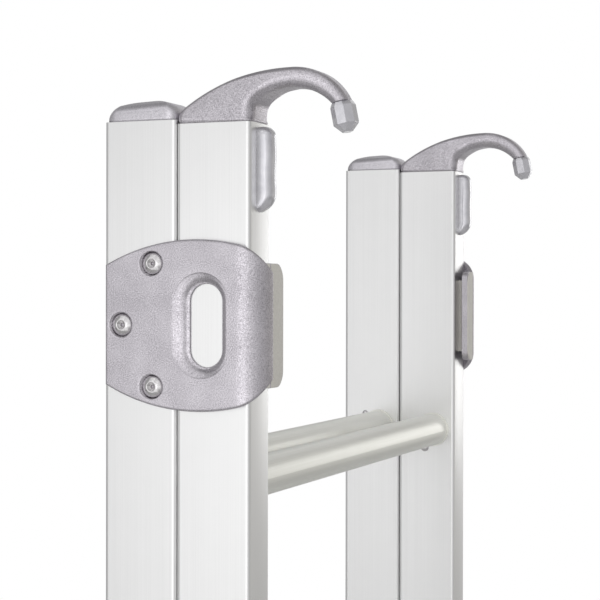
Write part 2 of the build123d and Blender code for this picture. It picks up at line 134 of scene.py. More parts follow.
def add_node(
    tree: bpy.types.NodeTree,
    kind: str,
    inputs: dict[str | int, Any] | None = None,
    links: dict[str | int, bpy.types.NodeSocket] | None = None,
    **settings: Any,
) -> bpy.types.Node:
    """Add one shader node with its settings, constants and links.

    Args:
        tree: The node tree that gets the node.
        kind: The node's Blender type name.
        inputs: Constants by input socket.
        links: Output sockets that feed inputs, by input socket.
        **settings: Attributes of the node.

    Returns:
        The new node.
    """
    node = tree.nodes.new(kind)
    for key, value in settings.items():
        setattr(node, key, value)
    for key, value in (inputs or {}).items():
        node.inputs[key].default_value = value
    for key, socket in (links or {}).items():
        tree.links.new(socket, node.inputs[key])
    return node


def fill_ramp(ramp: bpy.types.ColorRamp, stops: Sequence[tuple[float, Sequence[float]]]) -> None:
    """Set the stops of a new colour ramp.

    Args:
        ramp: The ramp, with its first two stops.
        stops: Position and linear colour of each stop, in order.
    """
    for position, _ in stops[1:-1]:
        ramp.elements.new(position)
    for element, (position, colour) in zip(ramp.elements, stops):
        element.position = position
        element.color = colour


# How much longer than wide the pattern is on drawn and on turned metal.
DRAWN_STRETCH = 400
TURNED_STRETCH = 300
# The fine noise's levels of detail and the weight of each next one, and the levels of the slow ripple.
NOISE_DETAIL = 2.0
NOISE_ROUGHNESS = 0.6
RIPPLE_DETAIL = 1.0
# Slow clouds in a finish's colour: repeats per metre, 17 mm each, and their weight beside the noise.
CLOUD_SCALE = 60.0
CLOUD_WEIGHT = 0.25
# Where the pattern is all shade and all colour, and the noise at its roughest and smoothest spots.
SHADE_AT = 0.42
COLOUR_AT = 0.78
ROUGH_AT = 0.3
SMOOTH_AT = 0.7
COAT_ROUGHNESS = 0.08


@dataclass(frozen=True)
class Finish:
    """A surface finish: what it is made of and how it was made.

    Attributes:
        name: The material's name.
        colour: Middle colour as sRGB hex.
        shade: Darker colour of the pattern as sRGB hex.
        grain: How the surface was made.
        grain_mm: Size of the fine pattern.
        metallic: Share of bare metal.
        roughness: Middle roughness.
        roughness_spread: How far the pattern moves the roughness.
        bump_mm: Height of the fine pattern.
        coat: Weight of a clear coat.
        ripple_mm: Size of the slow unevenness of a rough casting.
        ripple_depth_mm: Height of that unevenness.
    """

    name: str
    colour: str
    shade: str
    grain: Grain
    grain_mm: float
    metallic: float
    roughness: float
    roughness_spread: float
    bump_mm: float
    coat: float = 0.0
    ripple_mm: float = 3.0
    ripple_depth_mm: float = 0.0

    def pattern_scale(self) -> tuple[float, float, float]:
        """Find how fine the pattern is, drawn out along Z on an extrusion and along Y on a tube.

        Returns:
            Repeats per metre along X, Y and Z.
        """
        fine = 1 / (self.grain_mm * MM)
        if self.grain is Grain.DRAWN:
            return fine, fine, fine / DRAWN_STRETCH
        if self.grain is Grain.TURNED:
            return fine, fine / TURNED_STRETCH, fine
        return fine, fine, fine

    def build(self) -> bpy.types.Material:
        """Make the material.

        Returns:
            A node material with its colour, roughness and bump from the pattern.
        """
        material = bpy.data.materials.new(self.name)
        material.use_nodes = True
        tree = material.node_tree
        tree.nodes.clear()
        place = {"Vector": add_node(tree, "ShaderNodeTexCoord").outputs["Object"]}
        scaled = add_node(tree, "ShaderNodeMapping", {"Scale": self.pattern_scale()}, place)
        pattern = {"Vector": scaled.outputs["Vector"]}
        grain = {"Scale": 1.0, "Detail": NOISE_DETAIL, "Roughness": NOISE_ROUGHNESS}
        fine = add_node(tree, "ShaderNodeTexNoise", grain, pattern).outputs["Fac"]
        slow = {"Scale": CLOUD_SCALE, "Detail": NOISE_DETAIL}
        cloud = add_node(tree, "ShaderNodeTexNoise", slow, place)
        both = {0: cloud.outputs["Fac"], 2: fine}
        blend = add_node(tree, "ShaderNodeMath", {1: CLOUD_WEIGHT}, both, operation="MULTIPLY_ADD")
        colour = add_node(tree, "ShaderNodeValToRGB", links={"Fac": blend.outputs["Value"]})
        fill_ramp(colour.color_ramp, ((SHADE_AT, linear(self.shade)), (COLOUR_AT, linear(self.colour))))
        spread = {
            "From Min": ROUGH_AT,
            "From Max": SMOOTH_AT,
            "To Min": self.roughness + self.roughness_spread,
            "To Max": self.roughness - self.roughness_spread,
        }
        rough = add_node(tree, "ShaderNodeMapRange", spread, {"Value": fine})
        ripple = {"Scale": 1 / (self.ripple_mm * MM), "Detail": RIPPLE_DETAIL}
        height = add_node(tree, "ShaderNodeTexNoise", ripple, place).outputs["Fac"]
        depth = {"Strength": 1.0, "Distance": self.ripple_depth_mm * MM}
        uneven = add_node(tree, "ShaderNodeBump", depth, {"Height": height})
        depth = {"Strength": 1.0, "Distance": self.bump_mm * MM}
        bump = add_node(tree, "ShaderNodeBump", depth, {"Height": fine, "Normal": uneven.outputs["Normal"]})
        shader = add_node(
            tree,
            "ShaderNodeBsdfPrincipled",
            {"Metallic": self.metallic, "Coat Weight": self.coat, "Coat Roughness": COAT_ROUGHNESS},
            {
                "Base Color": colour.outputs["Color"],
                "Roughness": rough.outputs["Result"],
                "Normal": bump.outputs["Normal"],
            },
        )
        add_node(tree, "ShaderNodeOutputMaterial", links={"Surface": shader.outputs["BSDF"]})
        return material


# Die lines, cast grain and spark grain are finer than a pixel of the render, which is about 0.7 mm on
# the ladder, so they are drawn about that coarse, to show.

# Satin anodised aluminium extrusion: pale, matt, with barely visible die lines along its length.
RAIL_FINISH = Finish(
    "satin_anodised_extrusion", "#ededed", "#e9e9e9", Grain.DRAWN,
    grain_mm=0.5, metallic=1.0, roughness=0.36, roughness_spread=0.015, bump_mm=0.0004,
)
# Anodised tube: the same metal, a little warmer, with lines along the rung.
RUNG_FINISH = Finish(
    "satin_anodised_tube", "#f3f3ee", "#eeeee8", Grain.TURNED,
    grain_mm=0.5, metallic=1.0, roughness=0.44, roughness_spread=0.015, bump_mm=0.0004,
)
# Tumbled die-cast alloy: grey with a violet cast, a fine sparkle and a slow unevenness.
CAST_FINISH = Finish(
    "tumbled_die_cast_alloy", "#d7d3d9", "#9f9ba1", Grain.CAST,
    grain_mm=0.6, metallic=0.92, roughness=0.34, roughness_spread=0.1, bump_mm=0.05,
    ripple_mm=2.6, ripple_depth_mm=0.06,
)
# Moulded cap with a silver pigment: a little paler, with fine spark grain from its mould.
CAP_FINISH = Finish(
    "spark_grained_nylon", "#e0dde3", "#bcb9bf", Grain.MOULDED,
    grain_mm=0.6, metallic=0.85, roughness=0.34, roughness_spread=0.08, bump_mm=0.05,
    ripple_depth_mm=0.04,
)
# Soft vinyl moulding with a silver pigment: smooth and glossy, its colour even.
VINYL_FINISH = Finish(
    "smooth_soft_vinyl", "#d8d7dc", "#cfced4", Grain.MOULDED,
    grain_mm=4.0, metallic=0.6, roughness=0.2, roughness_spread=0.03, bump_mm=0.004,
    coat=0.8, ripple_mm=9.0, ripple_depth_mm=0.12,
)
# Bright turned aluminium rivets.
RIVET_FINISH = Finish(
    "bright_aluminium_rivet", "#dddbdc", "#cac8c9", Grain.CAST,
    grain_mm=0.9, metallic=1.0, roughness=0.15, roughness_spread=0.03, bump_mm=0.002,
)
# Black rubber soles with a dull, dusty skin.
SOLE_FINISH = Finish(
    "dusty_black_rubber", "#3a3a3b", "#2a2a2b", Grain.MOULDED,
    grain_mm=0.8, metallic=0.0, roughness=0.72, roughness_spread=0.1, bump_mm=0.05,
)
# Pale grey acetal glide strips: matt and a little warm.
LINER_FINISH = Finish(
    "pale_grey_acetal", "#e0ddd6", "#d6d3cc", Grain.MOULDED,
    grain_mm=1.2, metallic=0.0, roughness=0.55, roughness_spread=0.05, bump_mm=0.01,
)
# Zinc-plated steel of the lock.
STEEL_FINISH = Finish(
    "zinc_plated_steel", "#d4d6d8", "#b9bcc0", Grain.TURNED,
    grain_mm=0.4, metallic=1.0, roughness=0.3, roughness_spread=0.06, bump_mm=0.004,
)
# Black grained nylon knob.
KNOB_FINISH = Finish(
    "black_grained_nylon", "#37373a", "#29292b", Grain.MOULDED,
    grain_mm=0.7, metallic=0.0, roughness=0.5, roughness_spread=0.08, bump_mm=0.04,
)

FINISH_BY_SLOT: dict[str, Finish] = {
    "anodised_rail": RAIL_FINISH,
    "anodised_rung": RUNG_FINISH,
    "cast_alloy": CAST_FINISH,
    "moulded_cap": CAP_FINISH,
    "soft_pvc": VINYL_FINISH,
    "rivet_metal": RIVET_FINISH,
    "foot_rubber": SOLE_FINISH,
    "glide_plastic": LINER_FINISH,
    "plated_steel": STEEL_FINISH,
    "knob_plastic": KNOB_FINISH,
}


@dataclass
class Wardrobe:
    """The finished materials.

    Attributes:
        materials: One material for each of the record's slots.
    """

    materials: dict[str, bpy.types.Material]

    @classmethod
    def stitch(cls) -> Wardrobe:
        """Build every finish once."""
        return cls({slot: finish.build() for slot, finish in FINISH_BY_SLOT.items()})

    def dress_frame(self, frame: dict[str, Any]) -> None:
        """Give each CAD node the material of its slot.
        """
        for entry in frame["record"]["subparts"]:
            node = frame["nodes"][entry["node"]]
            node.data.materials.clear()
            node.data.materials.append(self.materials[entry["material_slot"]])
            LOG.info("dressed %s in %s", entry["node"], entry["material_slot"])

    def install(self, piece: bpy.types.Object, body: str, node: str, slot: str) -> None:
        """Put a piece in a CAD node's place, on its body and in its finish.

        Args:
            piece: The new mesh.
            body: The body that carries it.
            node: The node that it stands for.
            slot: The record's material slot.
        """
        piece.data.materials.append(self.materials[slot])
        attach(piece, body)
        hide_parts(node)
        LOG.info("%s stands for %s", piece.name, node)


def circle(radius: float, angle: np.ndarray) -> np.ndarray:
    """Points of a circle about the origin at the given angles."""
    return radius * np.stack([np.cos(angle), np.sin(angle)], -1)


def soft_step(share: np.ndarray) -> np.ndarray:
    """Ease shares with level ends: three times the square less twice the cube."""
    return share * share * (3 - 2 * share)


def round_off(gap: np.ndarray, radius: float) -> np.ndarray:
    """Find how far a quarter circle draws an edge in near an end.

    Args:
        gap: Distance from the end.
        radius: Radius of the quarter circle.

    Returns:
        The radius at the end itself, falling to nought one radius away from it.
    """
    near = np.clip(1 - gap / radius, 0, 1)
    return radius * (1 - np.sqrt(1 - near * near))


def turned(profile: np.ndarray, steps: int) -> np.ndarray:
    """Turn a profile about an axis along Y.

    Args:
        profile: Radius and depth of each point, of shape (any, 2).
        steps: Points in a ring.

    Returns:
        Rings of shape (any, steps, 3) about the origin, with the depth along Y.
    """
    radius, depth = profile.T[..., None]
    angle = np.linspace(0, 2 * np.pi, steps, endpoint=False)
    return np.stack([radius * np.cos(angle), depth + 0 * angle, radius * np.sin(angle)], -1)


def grid_quads(rows: int, columns: int) -> np.ndarray:
    """Quads of a grid whose columns close on themselves.

    Args:
        rows: Number of rings.
        columns: Number of points in a ring.

    Returns:
        Vertex numbers of the quads, one row each.
    """
    row, column = np.meshgrid(np.arange(rows - 1), np.arange(columns), indexing="ij")
    here, above = row * columns, (row + 1) * columns
    after = (column + 1) % columns
    return np.stack([here + column, here + after, above + after, above + column], -1).reshape(-1, 4)


def rounded_rings(half_u: np.ndarray, half_v: np.ndarray, radius: np.ndarray, steps: int) -> np.ndarray:
    """Rounded rectangles: each corner is a quarter circle about a point set in by the radius.

    Args:
        half_u: Half the size along the first direction, one for each ring.
        half_v: Half the size along the second direction.
        radius: Corner radius of each ring, or of each ring's four corners.
        steps: Points in each corner.

    Returns:
        Points of shape (rings, 4 * steps, 2), anticlockwise from the corner where both are positive.
    """
    turn = np.linspace(0, np.pi / 2, steps)
    angles = np.concatenate([turn + k * np.pi / 2 for k in range(4)])
    sign_u = np.repeat([1, -1, -1, 1], steps)
    sign_v = np.repeat([1, 1, -1, -1], steps)
    radius = np.minimum(radius.T, np.minimum(half_u, half_v)).T
    radius = radius[:, None] if radius.ndim == 1 else np.repeat(radius, steps, 1)
    u = sign_u * (half_u[:, None] - radius) + radius * np.cos(angles)
    v = sign_v * (half_v[:, None] - radius) + radius * np.sin(angles)
    return np.stack([u, v], -1)


def outward_step(cloud: np.ndarray, quads: np.ndarray) -> int:
    """Step through a quad's corners that makes a closed surface face outwards.

    Args:
        cloud: Points of shape (any, 3).
        quads: Vertex numbers of a closed surface's quads.

    Returns:
        One, or minus one where the corners have to be taken backwards.
    """
    corner = cloud[quads] - cloud.mean(0)
    normal = np.cross(corner[:, 2] - corner[:, 0], corner[:, 3] - corner[:, 1])
    return 1 if np.einsum("ij,ij->", corner.mean(1), normal) > 0 else -1


def mesh_piece(
    name: str, points: np.ndarray, faces: list[list[int]], flat: Sequence[int]
) -> bpy.types.Object:
    """Make a smooth mesh object at the origin.

    Args:
        name: The piece's name.
        points: Points of shape (any, 3), in metres.
        faces: Vertex numbers of each face.
        flat: Numbers of the faces that are shaded flat.

    Returns:
        The object, linked to the scene.
    """
    mesh = bpy.data.meshes.new(name)
    mesh.from_pydata(points.tolist(), [], faces)
    smooth = np.ones(len(mesh.polygons), bool)
    smooth[list(flat)] = False
    mesh.polygons.foreach_set("use_smooth", smooth)
    mesh.update()
    piece = bpy.data.objects.new(name, mesh)
    bpy.context.scene.collection.objects.link(piece)
    return piece


def loft_piece(name: str, *stacks: np.ndarray, looped: int = 0) -> bpy.types.Object:
    """Close stacks of rings into smooth solids with flat ends, all in one mesh.

    Args:
        name: The piece's name.
        *stacks: Points of shape (rings, columns, 3), in metres, one array for each solid.
        looped: How many of the first stacks join their last ring to their first instead.

    Returns:
        A mesh object at the origin, its faces pointing outwards.
    """
    points: list[np.ndarray] = []
    faces: list[list[int]] = []
    flat: list[int] = []
    start = 0
    for number, rings in enumerate(stacks):
        rows, columns, _ = rings.shape
        cloud = rings.reshape(-1, 3)
        closed = number < looped
        quads = grid_quads(rows + closed, columns) % len(cloud)
        step = outward_step(cloud, quads)
        first = np.arange(columns)[::-1]
        last = np.arange(columns) + (rows - 1) * columns
        faces += (quads[:, ::step] + start).tolist()
        if not closed:
            flat += [len(faces), len(faces) + 1]
            faces += [(first[::step] + start).tolist(), (last[::step] + start).tolist()]
        points.append(cloud)
        start += len(cloud)
    return mesh_piece(name, np.concatenate(points), faces, flat)


def level_arc(crest: np.ndarray, end: np.ndarray, steps: int) -> np.ndarray:
    """Points of the circle that is level at its crest and passes through a lower end.

    Args:
        crest: Highest point, in X and Z.
        end: Where the arc stops, in X and Z.
        steps: Number of points, from the crest to the end.

    Returns:
        Points of shape (steps, 2).
    """
    run, drop = end - crest
    radius = (run * run + drop * drop) / (-2 * drop)
    angle = np.linspace(0, math.asin(run / radius), steps)
    return crest + radius * np.stack([np.sin(angle), np.cos(angle) - 1], -1)


def even_path(points: np.ndarray, count: int, blur: int) -> np.ndarray:
    """Space a path's points evenly and round its corners by averaging neighbours.

    Args:
        points: The path, of shape (any, 2).
        count: Number of points to return.
        blur: Half the number of neighbours in the average.

    Returns:
        Points of shape (count, 2) with the same ends.
    """
    along = np.concatenate([[0], np.cumsum(np.linalg.norm(np.diff(points, axis=0), axis=1))])
    share = np.linspace(0, along[-1], count)
    path = np.stack([np.interp(share, along, points[:, k]) for k in range(2)], -1)
    before = 2 * path[0] - path[blur:0:-1]
    after = 2 * path[-1] - path[-2 : -blur - 2 : -1]
    padded = np.concatenate([before, path, after])
    weight = np.hanning(2 * blur + 3)[1:-1]
    weight = weight / weight.sum()
    return np.stack([np.convolve(padded[:, k], weight, "valid") for k in range(2)], -1)


# Points in a rail's corner and in half of its crown, and the shares of the crown's turn that they span.
RAIL_CORNER_POINTS = 15
RAIL_CROWN_POINTS = 12
RAIL_CROWN_SPAN = (0.02, 0.97)


@dataclass
class RailExtrusion:
    """A rail: a rounded rectangular tube, with the lock's slots in the rear wall of a base rail.

    Its rings climb the outside and come down the inside. A ring is four quarter circles joined by
    flat walls, with a point close to each circle's end so that the walls stay flat. A crowned front
    is a wide arc in place of a flat wall. A slot is one quad left out of both walls, and the four
    quads that join its edges.

    Attributes:
        section: Whether it belongs to the base or the hook section.
        side: Which stile it is on.
        rear: Place of its rear face on X.
        front: Place of its front face on X.
        corner: Radius of its corners.
        wall: Wall thickness.
        tighten: Share of the wall by which the inner corners are tighter.
        support: Distance from a corner's end of the point that keeps a wall flat.
        end_support: Distance from a rail's end of the ring that keeps its edge sharp.
        slot_half_width: Half a slot's width.
        slot_half_height: Half a slot's height.
        slot_first: Height of the lowest slot.
        slots: Number of slots.
        crown: Turn of the crowned front face at its edges, in radians.
    """

    section: str
    side: Side
    rear: float
    front: float
    corner: float = 2.5 * MM
    wall: float = 1.8 * MM
    tighten: float = 0.7
    support: float = 0.3 * MM
    end_support: float = 0.1 * MM
    slot_half_width: float = 4.5 * MM
    slot_half_height: float = 5.0 * MM
    slot_first: float = 70.0 * MM
    slots: int = 0
    crown: float = 0.0

    def box(self) -> tuple[Vector, Vector]:
        """Lowest and highest corner of the rail as it is seen."""
        low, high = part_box(f"{self.section}_rail_{self.side.suffix}")
        return Vector((self.rear, low.y, low.z)), Vector((self.front, high.y, high.z))

    def ring(self, inset: float) -> np.ndarray:
        """Outline of the tube at a distance inside its faces, from the front to the rear and back.

        Args:
            inset: Distance inside the outer faces.

        Returns:
            Points of shape (columns, 2); the slot's two columns lie in the middle of the rear wall.
        """
        low, high = self.box()
        half = np.array([high.x - low.x, high.y - low.y]) / 2 - inset
        centre = np.array([high.x + low.x, high.y + low.y]) / 2
        radius = self.corner - inset * self.tighten
        quarter = circle(radius, np.linspace(0, np.pi / 2, RAIL_CORNER_POINTS))
        before, after = quarter[:1] - (0, self.support), quarter[-1:] - (self.support, 0)
        quarter = np.concatenate([before, quarter, after]) + half - radius
        left = quarter[::-1] * (-1, 1)
        slot = np.array([(-half[0], self.slot_half_width), (-half[0], -self.slot_half_width)])
        front = self.crowned(half, radius) if self.crown else quarter
        return centre + np.concatenate([front, left, slot, -quarter, front[::-1] * (1, -1)])

    def crowned(self, half: np.ndarray, radius: float) -> np.ndarray:
        """Half of the crowned front: a wide arc that runs on into the corner's arc with no kink.

        Args:
            half: Half the tube's sizes along X and Y.
            radius: Radius of its corner.

        Returns:
            Points of shape (columns, 2), from near the middle of the front to the side wall.
        """
        corner = half - radius + circle(radius, np.linspace(self.crown, np.pi / 2, RAIL_CORNER_POINTS))
        wide = corner[0, 1] / np.sin(self.crown)
        hub = corner[0, 0] - wide * np.cos(self.crown)
        arc = circle(wide, np.linspace(*RAIL_CROWN_SPAN, RAIL_CROWN_POINTS) * self.crown) + (hub, 0)
        return np.concatenate([arc, corner, corner[-1:] - (self.support, 0)])

    def build(self, wardrobe: Wardrobe) -> None:
        """Stack the rings and cut the slots.

        Args:
            wardrobe: The finished materials.
        """
        low, high = self.box()
        middle = self.slot_first + RUNG_PITCH * np.arange(self.slots)
        edges = np.stack([middle - self.slot_half_height, middle + self.slot_half_height], -1).ravel()
        foot, head = [low.z, low.z + self.end_support], [high.z - self.end_support, high.z]
        level = np.concatenate([foot, edges, head])
        outer, inner = self.ring(0), self.ring(self.wall)
        count, columns = len(level), len(outer)
        plan = np.concatenate([np.repeat(outer[None], count, 0), np.repeat(inner[None], count, 0)])
        height = np.concatenate([level, level[::-1]])[:, None, None] * np.ones((1, columns, 1))
        cloud = np.concatenate([plan, height], -1).reshape(-1, 3)
        quads = grid_quads(2 * count + 1, columns) % len(cloud)
        slot_column = (columns - 2) // 2
        rows = 2 + 2 * np.arange(self.slots)
        outside = rows * columns + slot_column
        inside = (2 * count - 2 - rows) * columns + slot_column
        face, back = quads[outside], quads[inside][:, ::-1]
        reveal = np.stack([face, np.roll(face, -1, 1), np.roll(back, -1, 1), back], -1).reshape(-1, 4)
        quads = np.concatenate([np.delete(quads, np.concatenate([outside, inside]), 0), reveal])
        step = outward_step(cloud, quads)
        flat = range(len(quads) - len(reveal), len(quads))
        name = f"{self.section}_extrusion_{self.side.suffix}"
        piece = mesh_piece(name, cloud, quads[:, ::step].tolist(), flat)
        node = f"{self.section}_rail_{self.side.suffix}"
        wardrobe.install(piece, f"{self.section}_section", node, "anodised_rail")


# Points of a hook's arcs, its root, its arm and a section's corner, and the blurs that round its paths.
HOOK_ARC_POINTS = 40
HOOK_ROOT_POINTS = 70
HOOK_ARM_POINTS = 46
HOOK_CORNER_POINTS = 14
THROAT_BLUR = 19
BACK_BLUR = 6
ARM_BLUR = 3


@dataclass
class HookCasting:
    """The cast hook: sections that run from the throat's curve to the back's, narrowing to the tip.

    Attributes:
        side: Which stile it is on.
        crest: Distance of the back's crest from the rail's rear face.
        rise: Height of that crest over the rail's top.
        rear_rise: Height of the upright rear end.
        overhang: How far the root stands out over the rail's front.
        root_rise: Height of the upright part of the throat.
        throat: Distance of the throat's crest from the rail's front.
        throat_rise: Height of that crest over the rail's top.
        tip_reach: Distance of the tip's inner corner from the rail's front.
        tip_rise: Height of that corner.
        tip_lean: Lean of the tip's end, in degrees.
        tip_thickness: Thickness of the arm at its tip.
        tip_width: Width of the arm at its tip.
        root_round: Corner radius at the rail.
        arm_round: Corner radius along the arm.
        round_span: Share of the arm in which the one grows into the other.
        throat_round: Radius of the throat's edges.
        throat_lead: Height over the rail in which that radius grows.
        seam: Depth of the rounded seam over the rail.
    """

    side: Side
    crest: float = 69.3 * MM
    rise: float = 29.7 * MM
    rear_rise: float = 6.0 * MM
    overhang: float = 2.0 * MM
    root_rise: float = 9.6 * MM
    throat: float = 23.1 * MM
    throat_rise: float = 18.7 * MM
    tip_reach: float = 46.2 * MM
    tip_rise: float = 8.6 * MM
    tip_lean: float = 11.5
    tip_thickness: float = 9.8 * MM
    tip_width: float = 14.0 * MM
    root_round: float = 3.8 * MM
    arm_round: float = 4.2 * MM
    round_span: float = 0.25
    throat_round: float = 6.6 * MM
    throat_lead: float = 2.6 * MM
    seam: float = 0.9 * MM

    def rail(self) -> tuple[Vector, Vector]:
        """Lowest and highest corner of the rail under the hook."""
        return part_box(f"hook_rail_{self.side.suffix}")

    def tip(self) -> tuple[np.ndarray, np.ndarray]:
        """Place the tip.

        Returns:
            Its inner corner and the direction across it, in X and Z.
        """
        _, high = self.rail()
        lean = math.radians(self.tip_lean)
        inner = np.array([high.x + self.tip_reach, high.z + self.tip_rise])
        return inner, np.array([math.cos(lean), math.sin(lean)])

    def edge_curve(self, top: np.ndarray, start: np.ndarray, end: np.ndarray, blur: int) -> np.ndarray:
        """Draw one edge: straight up from the rail, by an arc to the crest and by another to the tip.

        Args:
            top: The crest, in X and Z.
            start: Where the straight part ends.
            end: The edge's end at the tip.
            blur: How far averaging rounds the root.

        Returns:
            Points of shape (any, 2), evenly spaced in the root and in the arm.
        """
        _, high = self.rail()
        climb = np.concatenate([[(start[0], high.z)], level_arc(top, start, HOOK_ARC_POINTS)[::-1]])
        arm = even_path(level_arc(top, end, HOOK_ARC_POINTS), HOOK_ARM_POINTS, ARM_BLUR)
        return np.concatenate([even_path(climb, HOOK_ROOT_POINTS, blur), arm[1:]])

    def curves(self) -> tuple[np.ndarray, np.ndarray]:
        """Place the crests and ends of the throat and the back, and draw both edges.

        Returns:
            The throat's and the back's curve in X and Z, point for point from the rail to the tip.
        """
        low, high = self.rail()
        inner_tip, across = self.tip()
        outer_tip = inner_tip + self.tip_thickness * across
        crest = np.array([low.x + self.crest, high.z + self.rise])
        throat = np.array([high.x + self.throat, high.z + self.throat_rise])
        rear = np.array([low.x, high.z + self.rear_rise])
        root = np.array([high.x + self.overhang, high.z + self.root_rise])
        inner = self.edge_curve(throat, root, inner_tip, THROAT_BLUR)
        return inner, self.edge_curve(crest, rear, outer_tip, BACK_BLUR)

    def build(self, wardrobe: Wardrobe) -> None:
        """Loft the arm from its root on the rail to its tip.

        Args:
            wardrobe: The finished materials.
        """
        low, high = self.rail()
        inner, outer = self.curves()
        middle = (inner + outer) / 2
        across = outer - inner
        length = np.linalg.norm(across, axis=1)
        across = across / length[:, None]
        root_width = high.y - low.y
        ease = np.clip((middle[:, 0] - high.x) / (middle[-1, 0] - high.x), 0, 1)
        width = root_width + (self.tip_width - root_width) * ease
        grown = np.clip(np.linspace(0, 1, len(middle)) / self.round_span, 0, 1)
        corner = self.root_round + (self.arm_round - self.root_round) * grown
        draw_in = self.seam * np.clip(1 - (middle[:, 1] - high.z) / (2 * self.seam), 0, 1) ** 2
        lead = np.clip((inner[:, 1] - high.z) / self.throat_lead, 0, 1)
        throat = corner + (self.throat_round - corner) * soft_step(np.maximum.accumulate(lead))
        radii = np.stack([corner, throat, throat, corner], -1)
        section = rounded_rings(length / 2 - draw_in, width / 2 - draw_in, radii, HOOK_CORNER_POINTS)
        x = middle[:, 0, None] + section[..., 0] * across[:, 0, None]
        z = middle[:, 1, None] + section[..., 0] * across[:, 1, None]
        y = (low.y + high.y) / 2 + section[..., 1]
        piece = loft_piece(f"hook_casting_{self.side.suffix}", np.stack([x, y, z], -1))
        wardrobe.install(piece, HOOK_SECTION, f"hook_{self.side.suffix}", "cast_alloy")


# Shares of a tip cap's length and of its facets' width at its four sections.
TIP_STATIONS = (0.0, 0.14, 0.74, 1.0)
TIP_FACETS = (1.0, 1.0, 1.0, 0.7)
# Steps of its softened edges, and the turn from which an edge is softened.
TIP_EDGE_STEPS = 5
TIP_EDGE_TURN = math.radians(15)


@dataclass
class TipCap:
    """The faceted soft cap on a hook's tip: bevelled rectangles along the tip's axis.

    Attributes:
        hook: The hook that it sits on.
        width: Size along Y.
        depth: Size across the arm.
        length: Length along the axis.
        facet: Width of the corner facets.
        mouth: How far the open end draws in.
        nose: How far the closed end draws in.
        edge: Radius that softens each edge.
    """

    hook: HookCasting
    width: float = 14.6 * MM
    depth: float = 12.8 * MM
    length: float = 16.8 * MM
    facet: float = 3.8 * MM
    mouth: float = 0.9 * MM
    nose: float = 3.6 * MM
    edge: float = 2.2 * MM

    def build(self, wardrobe: Wardrobe) -> None:
        """Loft the cap and soften its edges.

        Args:
            wardrobe: The finished materials.
        """
        inner, across = self.hook.tip()
        axis = np.array([across[1], -across[0]])
        middle = inner + across * self.hook.tip_thickness / 2
        along = np.array(TIP_STATIONS)[:, None] * self.length
        draw = np.array([self.mouth, 0.0, 0.0, self.nose])[:, None]
        cut = self.facet * np.array(TIP_FACETS)[:, None]
        on_flank = np.array([0, 1, 1, 0, 0, 1, 1, 0])
        u = np.array([1, 1, -1, -1, -1, -1, 1, 1]) * (self.depth / 2 - draw - cut * on_flank)
        v = np.array([1, 1, 1, 1, -1, -1, -1, -1]) * (self.width / 2 - draw - cut * (1 - on_flank))
        low, high = self.hook.rail()
        x = middle[0] + along * axis[0] + u * across[0]
        z = middle[1] + along * axis[1] + u * across[1]
        y = (low.y + high.y) / 2 + v
        piece = loft_piece(f"tip_cap_{self.hook.side.suffix}", np.stack([x, y, z], -1))
        soften = piece.modifiers.new("soft_edges", "BEVEL")
        soften.width = self.edge
        soften.segments = TIP_EDGE_STEPS
        soften.limit_method = "ANGLE"
        soften.angle_limit = TIP_EDGE_TURN
        soften.harden_normals = True
        wardrobe.install(piece, HOOK_SECTION, f"hook_tip_cap_{self.hook.side.suffix}", "soft_pvc")


# Sections up a bumper and points in a section's corner.
BUMPER_SECTIONS = 64
BUMPER_CORNER_POINTS = 9


@dataclass
class FrontBumper:
    """The soft block on the front of a hook rail: rounded sections stacked up the rail.

    Only the front half of each rounded section stands out; the rest lies flat on the rail. Its front
    swells and sinks a little, as soft mouldings do, by a slow cosine up its height.

    Attributes:
        side: Which stile it is on.
        top_round: Radius of its top front corner.
        low_round: Radius of its low front corner.
        end_round: Radius of its ends seen from the front.
        side_round: Radius of its long edges.
        swell: Depth of the front's waves.
        waves: Number of waves up its height.
    """

    side: Side
    top_round: float = 5.0 * MM
    low_round: float = 11.0 * MM
    end_round: float = 4.0 * MM
    side_round: float = 5.0 * MM
    swell: float = 0.35 * MM
    waves: float = 2.2

    def build(self, wardrobe: Wardrobe) -> None:
        """Loft the block.

        Args:
            wardrobe: The finished materials.
        """
        low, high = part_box(f"hook_bumper_{self.side.suffix}")
        height = high.z - low.z
        climb = (1 - np.cos(np.linspace(0, np.pi, BUMPER_SECTIONS))) / 2
        up = climb * height
        down = height - up
        rise = high.x - low.x - round_off(down, self.top_round) - round_off(up, self.low_round)
        rise = rise - self.swell * (1 + np.cos(2 * np.pi * self.waves * climb)) / 2
        half_width = (high.y - low.y) / 2 - round_off(np.minimum(up, down), self.end_round)
        radius = np.full_like(rise, self.side_round)
        section = rounded_rings(rise, half_width, radius, BUMPER_CORNER_POINTS)
        x = low.x + np.maximum(section[..., 0], 0)
        y = (low.y + high.y) / 2 + section[..., 1]
        z = np.broadcast_to(low.z + up[:, None], x.shape)
        piece = loft_piece(f"front_bumper_{self.side.suffix}", np.stack([x, y, z], -1))
        wardrobe.install(piece, HOOK_SECTION, f"hook_bumper_{self.side.suffix}", "soft_pvc")


# Rings of a top cap's seam, wall, shoulder and top, and points in a ring's corner.
CAP_SEAM_RINGS = 3
CAP_WALL_RINGS = 3
CAP_SHOULDER_RINGS = 10
CAP_TOP_RINGS = 22
CAP_CORNER_POINTS = 12
# Shares of the wall's height that its rings span, and of the plan's size that the top's rings span.
CAP_WALL_SPAN = (0.35, 0.9)
CAP_TOP_SPAN = (0.96, 0.02)


